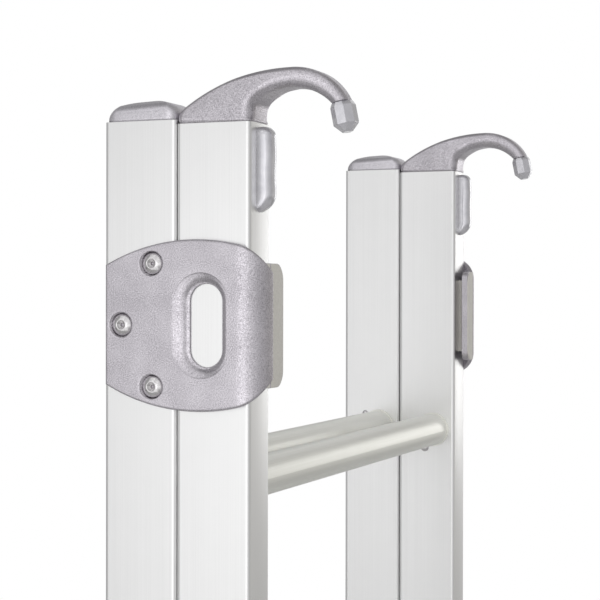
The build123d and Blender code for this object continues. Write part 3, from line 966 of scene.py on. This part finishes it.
@dataclass
class TopCap:
    """The cambered end cap of a base rail: rounded rings that climb the side and close over the top.

    Attributes:
        rail: The rail that it closes.
        rear: Height at the rear.
        crest: Height in the middle.
        front: Height at the front.
        corner: Radius of the upright corners.
        tighten: Share of a ring's inset by which its corners are tighter.
        shoulder: Radius between side and top.
        seam: Depth of the rounded seam over the rail.
    """

    rail: RailExtrusion
    rear: float = 6.0 * MM
    crest: float = 12.5 * MM
    front: float = 7.8 * MM
    corner: float = 7.0 * MM
    tighten: float = 0.6
    shoulder: float = 5.0 * MM
    seam: float = 0.9 * MM

    def camber(self, share: np.ndarray) -> np.ndarray:
        """Height of the top: the parabola through the rear, middle and front heights.

        Args:
            share: Share of the way from rear to front.

        Returns:
            Heights over the rail's end.
        """
        middle = self.crest * 4 * share * (1 - share)
        rear = self.rear * (1 - share) * (1 - 2 * share)
        return middle + rear + self.front * share * (2 * share - 1)

    def build(self, wardrobe: Wardrobe) -> None:
        """Stack the rings.

        Args:
            wardrobe: The finished materials.
        """
        low, high = self.rail.box()
        half = np.array([high.x - low.x, high.y - low.y]) / 2
        centre = np.array([high.x + low.x, high.y + low.y]) / 2
        turn = np.linspace(0, np.pi / 2, CAP_SHOULDER_RINGS)
        seam_inset = [self.seam, self.seam / 4, 0.0]
        inset = np.concatenate([seam_inset, np.zeros(CAP_WALL_RINGS), self.shoulder * (1 - np.cos(turn))])
        radius = self.corner - inset * self.tighten
        sides = rounded_rings(half[0] - inset, half[1] - inset, radius, CAP_CORNER_POINTS)
        shrink = np.linspace(*CAP_TOP_SPAN, CAP_TOP_RINGS)
        plan = np.concatenate([sides, sides[-1] * shrink[:, None, None]])
        top = self.camber((plan[..., 0] + half[0]) / (2 * half[0]))
        wall = top - self.shoulder
        bend_row = CAP_SEAM_RINGS + CAP_WALL_RINGS
        foot = np.array([0.0, self.seam / 4, self.seam])[:, None] * np.ones_like(top[:CAP_SEAM_RINGS])
        climb = wall[CAP_SEAM_RINGS:bend_row] * np.linspace(*CAP_WALL_SPAN, CAP_WALL_RINGS)[:, None]
        bend = wall[bend_row : len(sides)] + self.shoulder * np.sin(turn)[:, None]
        height = np.concatenate([foot, climb, bend, top[len(sides) :]])
        points = np.concatenate([plan + centre, (high.z + height)[..., None]], -1)
        piece = loft_piece(f"top_cap_{self.rail.side.suffix}", points)
        wardrobe.install(piece, BASE_SECTION, f"base_top_cap_{self.rail.side.suffix}", "moulded_cap")


# Profile of a guide's rivet in mm, as radius and depth under the head's crest: the bore from its floor
# up its countersink, the domed head from its crest out, its rim, and the shank with its spread tail.
RIVET_BORE = (
    (0.02, 8.0), (0.8, 8.0), (0.88, 7.0), (0.92, 1.9), (1.1, 1.5), (1.55, 1.25), (2.05, 0.8),
    (2.4, 0.33), (2.65, 0.12),
)
RIVET_DOME = (
    (2.9, 0.06), (3.3, 0.14), (3.8, 0.34), (4.4, 0.64), (5.0, 0.96), (5.5, 1.26), (5.9, 1.54),
    (6.14, 1.85),
)
RIVET_RIM = ((6.22, 2.2), (6.22, 2.6), (3.2, 2.65))
RIVET_TAIL = ((3.2, 6.4), (4.5, 6.5), (3.6, 10.0), (2.0, 10.4), (0.02, 10.4))
RIVET_POINTS = 48


@dataclass
class GuideRivets:
    """The three tubular rivets of a guide: one profile turned about each rivet's axis.

    Attributes:
        body: The body that carries them.
        level: Whether they hold the upper or the lower guide.
        side: Which stile they are on.
        spread: Distance of the outer two from the middle one, up and down.
        inner_x: Distance of the outer two from the gap between the rails.
        outer_x: Distance of the middle one from that gap.
        sink: Factor on the depth of the heads.
    """

    body: str
    level: str
    side: Side
    spread: float = 35.0 * MM
    inner_x: float = 12.8 * MM
    outer_x: float = 32.2 * MM
    sink: float = 1.0

    @property
    def node(self) -> str:
        """The CAD node that they stand for."""
        return f"{self.level}_guide_rivets_{self.side.suffix}"

    def spots(self) -> tuple[tuple[float, float], ...]:
        """Distance from the gap and height of each rivet."""
        return (self.inner_x, self.spread), (self.inner_x, -self.spread), (self.outer_x, 0.0)

    def build(self, wardrobe: Wardrobe) -> None:
        """Turn the three rivets into one piece.

        Args:
            wardrobe: The finished materials.
        """
        low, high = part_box(self.node)
        toward = math.copysign(1, low.x + high.x)
        face, middle = self.side.outer(self.node), (low.z + high.z) / 2
        head = np.array(RIVET_BORE + RIVET_DOME + RIVET_RIM) * (1, self.sink)
        ring = turned(np.concatenate([head, RIVET_TAIL]) * MM, RIVET_POINTS) * (1, -self.side.value, 1)
        rivets = [ring + (toward * x, face, middle + z) for x, z in self.spots()]
        piece = loft_piece(f"dished_rivets_{self.level}_{self.side.suffix}", *rivets)
        wardrobe.install(piece, self.body, self.node, "rivet_metal")


# Profile of a rung's rivet in shares of its head's radius, as radius and depth in the rail's wall.
RUNG_RIVET_DOME = ((0.01, -0.64), (0.28, -0.62), (0.52, -0.56), (0.76, -0.42), (0.94, -0.2), (1.0, 0.0))
RUNG_RIVET_SHANK = ((0.64, 0.02), (0.64, 1.2), (0.01, 1.2))
RUNG_RIVET_POINTS = 28


@dataclass
class RungRivets:
    """The rivets beside a section's rungs: one domed head and shank turned about each rivet's axis.

    Attributes:
        section: Whether they belong to the base or the hook section.
        offset_x: Distance from a rung's axis along X.
        offset_z: Distance from a rung's axis along Z.
        head: Radius of a head.
        inner_face: Distance of the rails' inner faces from the middle of the ladder.
    """

    section: str
    offset_x: float
    offset_z: float
    head: float
    inner_face: float = 184.0 * MM

    def build(self, wardrobe: Wardrobe) -> None:
        """Turn the rivets of every rung into one piece.

        Args:
            wardrobe: The finished materials.
        """
        low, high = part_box(f"{self.section}_rung_1")
        x = (low.x + high.x) / 2 + self.offset_x
        z = (low.z + high.z) / 2 + self.offset_z
        ring = turned(np.array(RUNG_RIVET_DOME + RUNG_RIVET_SHANK) * self.head, RUNG_RIVET_POINTS)
        rivets = [
            ring * (1, side.value, 1) + (x, side.value * self.inner_face, z + k * RUNG_PITCH)
            for side in Side
            for k in range(RUNGS)
        ]
        piece = loft_piece(f"rung_rivets_{self.section}", *rivets)
        wardrobe.install(piece, f"{self.section}_section", f"{self.section}_rung_rivets", "rivet_metal")


# Depth of a guide's dish in mm by the share of the way from the window's edge to the rim: the window's
# wall and the land beside it, the slope, and the ridge along the rim, which stands a little proud.
DISH_LAND = (
    (0.0, 4.0), (0.0, 3.6), (0.015, 3.45), (0.04, 3.34), (0.08, 3.27), (0.13, 3.18), (0.18, 3.02),
    (0.23, 2.74),
)
DISH_SLOPE = (
    (0.28, 2.4), (0.33, 2.08), (0.4, 1.72), (0.48, 1.38), (0.57, 1.08), (0.66, 0.86), (0.75, 0.68),
    (0.83, 0.52),
)
DISH_RIDGE = (
    (0.9, 0.36), (0.94, 0.2), (0.965, 0.05), (0.985, -0.07), (1.0, -0.14), (1.02, -0.16), (1.04, -0.12),
    (1.06, -0.04), (1.08, 0.0),
)
# Share of the dish from which it is eased away on the window's front side, and the span of that.
DISH_FALL_START = 0.3
DISH_FALL_SPAN = 0.34
# Distances from a guide's outline, in mm, of the rings that round its edge.
EDGE_RINGS = (2.4, 2.0, 1.6, 1.3, 1.0, 0.75, 0.5, 0.3, 0.15, 0.05, 0.0)
# Steps across its outer field, between the dish and the edge, and rings of its back.
FIELD_RINGS = 80
BACK_RINGS = 30
# Points of its outline: the front corner, the crown, and half of each upright end.
NOSE_POINTS = 160
CROWN_POINTS = 400
END_POINTS = 60
# Rays in a quarter turn on the window's front and rear side, and along its front and rear edge.
FRONT_RAYS = 45
REAR_RAYS = 111
FRONT_EDGE_RAYS = 18
REAR_EDGE_RAYS = 56
# Rings of the front wall's flat part and of its rounded end, and points in a ring's corner.
WALL_RINGS = 8
WALL_END_RINGS = 16
WALL_CORNER_POINTS = 6


@dataclass
class GuideShell:
    """The upper guide's casting: a dished sheet bent round the rail, and the front wall it ends in.

    The sheet is a set of rings about the window. Each point lies on a ray that leaves the window's
    middle line, at a distance from the window's edge to the barrel outline. Its depth under the outer
    face is the dish's profile near the window, a soft step round each rivet and a quarter circle at
    the edge. The flat sheet then turns about an upright axis, as far as the front wall.

    Attributes:
        side: Which stile it is on.
        rivets: The rivets that sit in its recesses.
        crest: Where the barrel is highest, from the gap between the rails.
        edge_half: Half its height at the free edge.
        nose: How far its front stands from the gap.
        nose_round: Radius of the outline's front corners.
        overrun: How far that radius runs past the front.
        bend: Outer radius of the turn round the rail.
        plate: Thickness of the sheet.
        clearance: Running clearance at the rail that slides.
        window: Distance of the window from the gap.
        window_half_width: Half the window's width.
        window_half_height: Half the window's height.
        dish: Width of the dish beside the window.
        dish_shift: How far the dish leans to the rear.
        dish_end: How much narrower the dish is over and under the window.
        edge_round: Radius of the outer edge.
        back_edge: Width of the bevel along the back's edges.
        recess: Radius of the rivets' recess.
        recess_depth: Depth of that recess.
        recess_soft: Width of the recess's soft step.
        wall: Thickness of the front wall.
        wall_front: Distance of the wall's face from the gap.
        wall_start: Depth where the sheet ends in the wall.
        wall_lead: How far the wall reaches back into the sheet.
        wall_end: Depth of the wall's free end.
        wall_half: Half the wall's height.
        wall_round: Radius of the wall's free corners.
        wall_edge: Radius of the wall's long edges.
        lip: Length over which the wall thins at its free end.
        lip_depth: How much each face draws in there.
    """

    side: Side
    rivets: GuideRivets
    crest: float = 14.0 * MM
    edge_half: float = 34.3 * MM
    nose: float = 57.4 * MM
    nose_round: float = 21.0 * MM
    overrun: float = 0.3 * MM
    bend: float = 18.0 * MM
    plate: float = 4.2 * MM
    clearance: float = 0.4 * MM
    window: float = 20.2 * MM
    window_half_width: float = 10.0 * MM
    window_half_height: float = 23.5 * MM
    dish: float = 7.8 * MM
    dish_shift: float = 2.0 * MM
    dish_end: float = 1.4 * MM
    edge_round: float = 1.6 * MM
    back_edge: float = 0.3 * MM
    recess: float = 7.1 * MM
    recess_depth: float = 3.3 * MM
    recess_soft: float = 0.7 * MM
    wall: float = 4.6 * MM
    wall_front: float = 55.9 * MM
    wall_start: float = 14.6 * MM
    wall_lead: float = 2.5 * MM
    wall_end: float = 28.8 * MM
    wall_half: float = 34.9 * MM
    wall_round: float = 6.0 * MM
    wall_edge: float = 0.9 * MM
    lip: float = 0.8 * MM
    lip_depth: float = 0.5 * MM

    @property
    def node(self) -> str:
        """The CAD node that it stands for."""
        return f"upper_guide_{self.side.suffix}"

    def outline(self) -> np.ndarray:
        """Upper half of the barrel outline on the unrolled sheet, from the front wall to the free edge.

        A wide circle is level at the crest and runs through the free edge's end; a smaller circle
        inside it rounds the front corner; the sheet stops where its turn reaches the wall.

        Returns:
            Points of shape (any, 2): run along the sheet and height over its middle.
        """
        low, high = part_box(self.node)
        half = (high.z - low.z) / 2
        run, drop = self.crest - low.x, half - self.edge_half
        wide = (run * run + drop * drop) / (2 * drop)
        centre = np.array([self.crest, half - wide])
        turn_end = math.acos(1 - self.wall_start / self.bend)
        flat_end = self.nose - self.bend
        end_x = flat_end + self.bend * math.sin(turn_end)
        small_x = self.nose + self.overrun - self.nose_round
        small_z = centre[1] + math.sqrt((wide - self.nose_round) ** 2 - (small_x - self.crest) ** 2)
        touch = math.atan2(small_z - centre[1], small_x - self.crest)
        first = math.acos((end_x - small_x) / self.nose_round)
        last = math.atan2(self.edge_half - centre[1], low.x - self.crest)
        corner = circle(self.nose_round, np.linspace(first, touch, NOSE_POINTS)) + (small_x, small_z)
        crown = centre + circle(wide, np.linspace(touch, last, CROWN_POINTS))
        front = np.stack([np.full(END_POINTS, end_x), np.linspace(0, corner[0, 1], END_POINTS)], -1)
        free = np.stack([np.full(END_POINTS, low.x), np.linspace(self.edge_half, 0, END_POINTS)], -1)
        line = np.concatenate([front, corner[1:], crown[1:], free[1:]])
        rolled = np.clip((line[:, 0] - flat_end) / self.bend, 0, 1)
        line[:, 0] = np.where(rolled > 0, flat_end + self.bend * np.arcsin(rolled), line[:, 0])
        return line

    def rays(self) -> tuple[np.ndarray, np.ndarray, np.ndarray]:
        """Spread rays from the window's middle line to the outline, one of them to the free corner.

        Returns:
            Heights of their starting points, their turns and their lengths.
        """
        line = self.outline()
        offset = self.window_half_height - self.window_half_width
        from_end = line - (self.window, offset)
        angle = np.mod(np.arctan2(from_end[:, 1], from_end[:, 0]) + np.pi / 2, 2 * np.pi) - np.pi / 2
        length = np.linalg.norm(from_end, axis=1)
        free_corner = angle[-END_POINTS]
        front_turn = np.linspace(0, np.pi / 2, FRONT_RAYS)
        rear_turn = np.linspace(np.pi / 2, np.pi, REAR_RAYS)
        top = np.unique(np.concatenate([front_turn, rear_turn, [free_corner]]))
        low_turn = (2 * np.pi - top)[::-1]
        rise = np.linspace(-offset, offset, FRONT_EDGE_RAYS)[:-1]
        fall = np.linspace(offset, -offset, REAR_EDGE_RAYS)[:-1]
        turn = np.concatenate([0 * rise, top[:-1], 0 * fall + np.pi, low_turn[:-1]])
        start_z = np.concatenate([rise, 0 * top[:-1] + offset, fall, 0 * low_turn[:-1] - offset])
        mirrored = np.where(turn > np.pi, 2 * np.pi - turn, turn)
        level_reach = np.where(turn == 0, line[0, 0] - self.window, self.window - line[-1, 0])
        reach = np.where(np.abs(start_z) < offset, level_reach, np.interp(mirrored, angle, length))
        return start_z, turn, reach

    def bent(self, run: np.ndarray, height: np.ndarray, depth: np.ndarray) -> np.ndarray:
        """Bend sheet points round the rail.

        Args:
            run: Distance along the unrolled sheet from the gap between the rails.
            height: Height over the guide's middle.
            depth: Depth under the outer face.

        Returns:
            Points in the frame, with a last axis of three.
        """
        low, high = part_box(self.node)
        flat_end = self.nose - self.bend
        turn = np.clip(run - flat_end, 0, None) / self.bend
        x = np.where(turn > 0, flat_end + (self.bend - depth) * np.sin(turn), run)
        inward = np.where(turn > 0, self.bend - (self.bend - depth) * np.cos(turn), depth)
        y = self.side.outer(self.node) - self.side.value * inward
        return np.stack([x, y, (low.z + high.z) / 2 + height], -1)

    def sheet(self) -> np.ndarray:
        """Rings of the sheet, over its outer face, round its edge and back inside to the window.

        Returns:
            Points of shape (rings, columns, 3).
        """
        start_z, turn, reach = self.rays()
        margin = self.dish - self.dish_shift * np.cos(turn) - self.dish_end * np.abs(np.sin(turn))
        share, dish_depth = np.array(DISH_LAND + DISH_SLOPE + DISH_RIDGE).T
        dish_depth = dish_depth * MM
        inner = self.window_half_width + share[:, None] * margin
        edge = np.array(EDGE_RINGS) * MM
        rim = reach - edge[:, None]
        spread = np.linspace(0, 1, FIELD_RINGS)[1:-1, None]
        field = inner[-1] + (rim[0] - inner[-1]) * spread
        back_share = np.linspace(0, 1, BACK_RINGS)[:, None]
        back_rim, back_hole = reach - self.back_edge, self.window_half_width + self.back_edge
        back = back_rim * (1 - back_share) + back_hole * back_share
        hole = np.broadcast_to(self.window_half_width, (1, len(turn)))
        out = np.concatenate([inner, field, rim, rim[-1:], rim[-1:], back, hole])
        outer_depth = np.concatenate([dish_depth, np.zeros(len(field)), round_off(edge, self.edge_round)])
        side_depth = np.array([(self.edge_round + self.plate) / 2, self.plate - self.back_edge])
        back_depth = np.full(len(back) + 1, self.plate)
        depth = np.concatenate([outer_depth, side_depth, back_depth])[:, None] + np.zeros_like(out)
        fall = np.clip((share - DISH_FALL_START) / DISH_FALL_SPAN, 0, 1) * (dish_depth > 0)
        depth[: len(share)] *= 1 - soft_step(fall)[:, None] * np.clip(np.cos(turn), 0, 1)
        run = self.window + out * np.cos(turn)
        height = start_z + out * np.sin(turn)
        outside = slice(len(outer_depth))
        for x, z in self.rivets.spots():
            away = np.hypot(run[outside] + x, height[outside] - z)
            dip = self.recess_depth * soft_step(np.clip((self.recess - away) / self.recess_soft, 0, 1))
            depth[outside] = np.maximum(depth[outside], dip)
        inside = slice(len(outer_depth) + len(side_depth), None)
        depth[inside] += self.clearance * (run[inside] < -self.clearance)
        return self.bent(run, height, depth)

    def front_wall(self) -> np.ndarray:
        """Rings of the wall in front of the rail, its free corners rounded.

        Returns:
            Points of shape (rings, columns, 3).
        """
        low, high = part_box(self.node)
        flat = np.linspace(self.wall_start - self.wall_lead, self.wall_end - self.wall_round, WALL_RINGS)
        sweep = np.sin(np.linspace(0, np.pi / 2, WALL_END_RINGS))[1:]
        inward = np.concatenate([flat, self.wall_end - self.wall_round * (1 - sweep)])
        gap = self.wall_end - inward
        half = self.wall_half - round_off(gap, self.wall_round)
        thick = self.wall / 2 - round_off(gap, self.lip) * self.lip_depth / self.lip
        section = rounded_rings(thick, half, np.full_like(half, self.wall_edge), WALL_CORNER_POINTS)
        x = self.wall_front - self.wall / 2 + section[..., 0]
        y = self.side.outer(self.node) - self.side.value * inward
        z = (low.z + high.z) / 2 + section[..., 1]
        return np.stack([x, np.broadcast_to(y[:, None], x.shape), z], -1)

    def build(self, wardrobe: Wardrobe) -> None:
        """Join the sheet and its front wall, and dress them."""
        piece = loft_piece(f"guide_casting_{self.side.suffix}", self.sheet(), self.front_wall(), looped=1)
        wardrobe.install(piece, BASE_SECTION, self.node, "cast_alloy")


# Sections of a guide strip round the bend and along the wall, and points in a section's corner.
STRIP_BEND_SECTIONS = 24
STRIP_WALL_SECTIONS = 30
STRIP_CORNER_POINTS = 5


@dataclass
class GuideStrip:
    """The strip on an upper guide's front wall: one section that follows the bend and then the wall.

    Attributes:
        guide: The guide that it lies on.
        sink: How far it lies under the casting's outer face.
        thickness: Thickness of the strip.
        half_height: Half its height.
        corner: Radius of its free corners.
        first_turn: Turn of the bend where it comes out from under the casting, in degrees.
        end: Depth of its free end.
        edge: Radius of its long edges.
    """

    guide: GuideShell
    sink: float = 0.7 * MM
    thickness: float = 1.4 * MM
    half_height: float = 34.7 * MM
    corner: float = 9.0 * MM
    first_turn: float = 32.0
    end: float = 28.4 * MM
    edge: float = 0.5 * MM

    def build(self, wardrobe: Wardrobe) -> None:
        """Loft the strip.

        Args:
            wardrobe: The finished materials.
        """
        guide, side = self.guide, self.guide.side
        low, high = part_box(guide.node)
        middle = guide.bend - self.sink - self.thickness / 2
        turn = np.linspace(math.radians(self.first_turn), np.pi / 2, STRIP_BEND_SECTIONS)
        run = np.sin(np.linspace(0, np.pi / 2, STRIP_WALL_SECTIONS))[1:] * (self.end - guide.bend)
        bend_x = guide.nose - guide.bend + middle * np.sin(turn)
        x = np.concatenate([bend_x, np.full_like(run, bend_x[-1])])
        inward = np.concatenate([guide.bend - middle * np.cos(turn), guide.bend + run])
        lean = np.concatenate([turn, np.full_like(run, np.pi / 2)])[:, None]
        half = self.half_height - round_off(self.end - inward, self.corner)
        thick, radius = np.full_like(half, self.thickness / 2), np.full_like(half, self.edge)
        section = rounded_rings(thick, half, radius, STRIP_CORNER_POINTS)
        out_x = x[:, None] + section[..., 0] * np.sin(lean)
        depth = inward[:, None] - section[..., 0] * np.cos(lean)
        y = side.outer(guide.node) - side.value * depth
        z = (low.z + high.z) / 2 + section[..., 1]
        piece = loft_piece(f"front_strip_{side.suffix}", np.stack([out_x, y, z], -1))
        wardrobe.install(piece, BASE_SECTION, f"upper_guide_strip_{side.suffix}", "glide_plastic")


@dataclass(frozen=True)
class Softbox:
    """A soft rectangular lamp that the camera doesn't see.

    Attributes:
        name: The lamp's name.
        place: Where its middle hangs, in metres.
        aim: The point that it faces, in metres.
        size: Its width and height, in metres.
        power: Its power in watts.
    """

    name: str
    place: tuple[float, float, float]
    aim: tuple[float, float, float]
    size: tuple[float, float]
    power: float

    def hang(self) -> None:
        """Add the lamp to the scene."""
        data = bpy.data.lights.new(self.name, "AREA")
        data.shape = "RECTANGLE"
        data.size, data.size_y = self.size
        data.energy = self.power
        lamp = bpy.data.objects.new(self.name, data)
        facing = (Vector(self.aim) - Vector(self.place)).to_track_quat("-Z", "Y")
        lamp.matrix_world = Matrix.Translation(self.place) @ facing.to_matrix().to_4x4()
        lamp.visible_camera = False
        bpy.context.scene.collection.objects.link(lamp)


# A key over the camera's left shoulder, a panel on its side of the ladder and a narrow one across.
SOFTBOXES = (
    Softbox("key_softbox", (-0.7, -1.5, 2.2), (0.0, 0.0, 1.0), (1.2, 1.2), 2.0),
    Softbox("front_panel", (-0.1, -1.0, 0.82), (-0.1, 0.0, 0.82), (0.84, 0.92), 1.42),
    Softbox("rear_panel", (0.57, 1.65, 1.14), (0.0, 0.0, 0.96), (0.3, 0.7), 1.35),
)
# Brightness of the room by turn from -Y, the camera's side, towards +X, in degrees, and at -Y itself.
ROOM_LEVELS = (
    (8, 1.2), (28, 1.2), (46, 0.9), (62, 0.7), (82, 0.58), (105, 0.5), (128, 0.66), (146, 0.6),
    (162, 0.48), (174, 0.78), (-176, 1.0), (-150, 0.5), (-112, 0.45), (-80, 0.5), (-50, 0.54), (-24, 0.7),
)
FRONT_LEVEL = 1.05
# Brightness by height, as the sine of the angle over the horizon, halved and raised by a half.
HEIGHT_LEVELS = (
    (0.0, 0.45), (0.34, 0.5), (0.42, 0.98), (0.5, 1.0), (0.545, 0.92),
    (0.575, 0.8), (0.64, 0.82), (0.72, 0.9), (0.82, 0.75), (1.0, 0.55),
)
# The level that a ramp's white stands for.
ROOM_PEAK = 2.0
# From +X round to the far side the room is a little warmer.
WARM_TURNS = (90, 170)
WARM_TINT = (1.0, 0.985, 0.95)
NO_TINT = (1.0, 1.0, 1.0)
# Colour of the floor, and the glow that the camera sees on it besides.
FLOOR_COLOUR = "#ececec"
FLOOR_GLOW = "#909090"


def room_colour(turn: float, level: float) -> tuple[float, float, float, float]:
    """Colour of the room as a share of its peak.

    Args:
        turn: Turn from -Y towards +X, in degrees.
        level: Brightness there.

    Returns:
        Linear red, green, blue and an alpha of one.
    """
    tint = WARM_TINT if WARM_TURNS[0] <= turn <= WARM_TURNS[1] else NO_TINT
    red, green, blue = (level / ROOM_PEAK * part for part in tint)
    return red, green, blue, 1.0


@dataclass
class Studio:
    """Floor, light and the camera of the photograph.

    Attributes:
        eye: Place of the camera, in metres.
        yaw: Turn of the view from +Y towards -X, in degrees.
        pitch: Tilt of the view upwards, in degrees.
        roll: Roll of the frame, in degrees.
        focal_pixels: Focal length in pixels.
        frame_pixels: Width of the frame in pixels.
        sensor_mm: Width of the camera's sensor.
        clip_start: Nearest distance that the camera sees, in metres.
        floor_half: Half the size of the floor, in metres.
        far_reach: Radius of the far floor, in metres.
        far_drop: How far that lies under the floor.
        far_points: Points round its rim.
        floor_roughness: Roughness of both.
    """

    eye: tuple[float, float, float] = (0.4055, -1.0207, 1.0651)
    yaw: float = 22.13
    pitch: float = -0.33
    roll: float = 0.09
    focal_pixels: float = 1592.2
    frame_pixels: float = 600.0
    sensor_mm: float = 36.0
    clip_start: float = 0.01
    floor_half: float = 2.2
    far_reach: float = 4.1
    far_drop: float = 1.0 * MM
    far_points: int = 96
    floor_roughness: float = 0.8

    def camera(self) -> None:
        """Stand the camera where the photograph was taken from."""
        data = bpy.data.cameras.new("photo_camera")
        data.sensor_width = self.sensor_mm
        data.lens = data.sensor_width * self.focal_pixels / self.frame_pixels
        data.clip_start = self.clip_start
        yaw, pitch, roll = (math.radians(a) for a in (self.yaw, self.pitch, self.roll))
        flat = math.cos(pitch)
        ahead = Vector((-math.sin(yaw) * flat, math.cos(yaw) * flat, math.sin(pitch)))
        right = ahead.cross(Vector((0, 0, 1))).normalized()
        up = right.cross(ahead)
        rolled_right = right * math.cos(roll) + up * math.sin(roll)
        rolled_up = up * math.cos(roll) - right * math.sin(roll)
        turn = Matrix((rolled_right, rolled_up, -ahead)).transposed().to_4x4()
        camera = bpy.data.objects.new("photo_camera", data)
        camera.matrix_world = Matrix.Translation(self.eye) @ turn
        bpy.context.scene.collection.objects.link(camera)
        bpy.context.scene.camera = camera

    def floor(self) -> None:
        """Lay a pale floor, and a far one round it that diffuse, glossy and shadow rays miss."""
        material = bpy.data.materials.new("pale_floor")
        material.use_nodes = True
        shader = material.node_tree.nodes["Principled BSDF"]
        shader.inputs["Base Color"].default_value = linear(FLOOR_COLOUR)
        shader.inputs["Roughness"].default_value = self.floor_roughness
        shader.inputs["Emission Color"].default_value = linear(FLOOR_GLOW)
        rays = add_node(material.node_tree, "ShaderNodeLightPath")
        material.node_tree.links.new(rays.outputs["Is Camera Ray"], shader.inputs["Emission Strength"])
        half = self.floor_half
        square = np.array([(-half, -half, 0), (half, -half, 0), (half, half, 0), (-half, half, 0)])
        floor = mesh_piece("studio_floor", square, [[0, 1, 2, 3]], [0])
        floor.data.materials.append(material)
        rim = circle(self.far_reach, np.linspace(0, 2 * np.pi, self.far_points, endpoint=False))
        rim = np.column_stack([rim, np.full(self.far_points, -self.far_drop)])
        far = mesh_piece("studio_floor_far", rim, [list(range(self.far_points))], [0])
        far.data.materials.append(material)
        far.visible_diffuse = far.visible_glossy = far.visible_shadow = False

    def world(self) -> None:
        """Light the room: white to the camera, soft boxes by direction to everything else.

        The level is that of the direction's turn about the vertical times that of its height. It is
        brightest on the camera's side and straight across from it and about half as bright at the
        sides, and it falls off overhead and under the horizon.
        """
        world = bpy.data.worlds.new("studio_room")
        world.use_nodes = True
        tree = world.node_tree
        tree.nodes.clear()
        place = add_node(tree, "ShaderNodeTexCoord")
        parts = add_node(tree, "ShaderNodeSeparateXYZ", links={"Vector": place.outputs["Generated"]}).outputs
        turn = add_node(tree, "ShaderNodeMath", links={0: parts["X"], 1: parts["Y"]}, operation="ARCTAN2")
        levels = sorted(((-angle / 360) % 1.0, angle, level) for angle, level in ROOM_LEVELS)
        levels = [(0.0, 0, FRONT_LEVEL), *levels, (1.0, 0, FRONT_LEVEL)]
        round_stops = [(position, room_colour(angle, level)) for position, angle, level in levels]
        height_stops = [(position, room_colour(0, level)) for position, level in HEIGHT_LEVELS]
        looked_up = []
        for value, reach, stops in (
            (turn.outputs["Value"], math.pi, round_stops),
            (parts["Z"], 1.0, height_stops),
        ):
            span = {"From Min": -reach, "From Max": reach}
            share = add_node(tree, "ShaderNodeMapRange", span, {"Value": value})
            ramp = add_node(tree, "ShaderNodeValToRGB", links={"Fac": share.outputs["Result"]})
            fill_ramp(ramp.color_ramp, stops)
            looked_up.append(ramp.outputs["Color"])
        height = {0: looked_up[1]}
        strength = add_node(tree, "ShaderNodeMath", {1: ROOM_PEAK**2}, height, operation="MULTIPLY")
        light = {"Color": looked_up[0], "Strength": strength.outputs["Value"]}
        lit = add_node(tree, "ShaderNodeBackground", links=light).outputs["Background"]
        white = add_node(tree, "ShaderNodeBackground", {"Color": (1, 1, 1, 1), "Strength": 1.0})
        seen = add_node(tree, "ShaderNodeLightPath").outputs["Is Camera Ray"]
        mix = add_node(tree, "ShaderNodeMixShader", links={0: seen, 1: lit, 2: white.outputs["Background"]})
        add_node(tree, "ShaderNodeOutputWorld", links={"Surface": mix.outputs["Shader"]})
        bpy.context.scene.world = world

    def build(self) -> None:
        """Set up everything that isn't the ladder."""
        self.camera()
        self.floor()
        self.world()
        for softbox in SOFTBOXES:
            softbox.hang()
        bpy.context.scene.view_settings.view_transform = "Standard"


def main() -> None:
    """Load the frame, dress it and set the studio round it."""
    logging.basicConfig(level=logging.INFO, format="%(name)s: %(message)s")
    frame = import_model()
    wardrobe = Wardrobe.stitch()
    wardrobe.dress_frame(frame)
    for side in Side:
        hook = HookCasting(side)
        base_rail = RailExtrusion("base", side, BASE_REAR, BASE_FRONT, slots=LOCK_SLOTS)
        hook_rail = RailExtrusion("hook", side, HOOK_REAR, HOOK_FRONT, crown=HOOK_CROWN)
        upper = GuideRivets(BASE_SECTION, "upper", side)
        lower = GuideRivets(HOOK_SECTION, "lower", side, sink=LOWER_SINK)
        guide = GuideShell(side, upper)
        for part in (hook, TipCap(hook), FrontBumper(side), base_rail, hook_rail, TopCap(base_rail)):
            part.build(wardrobe)
        for part in (upper, guide, GuideStrip(guide), lower):
            part.build(wardrobe)
    RungRivets("base", *BASE_RIVET).build(wardrobe)
    RungRivets("hook", *HOOK_RIVET).build(wardrobe)
    Studio().build()


if __name__ == "__main__":
    main()
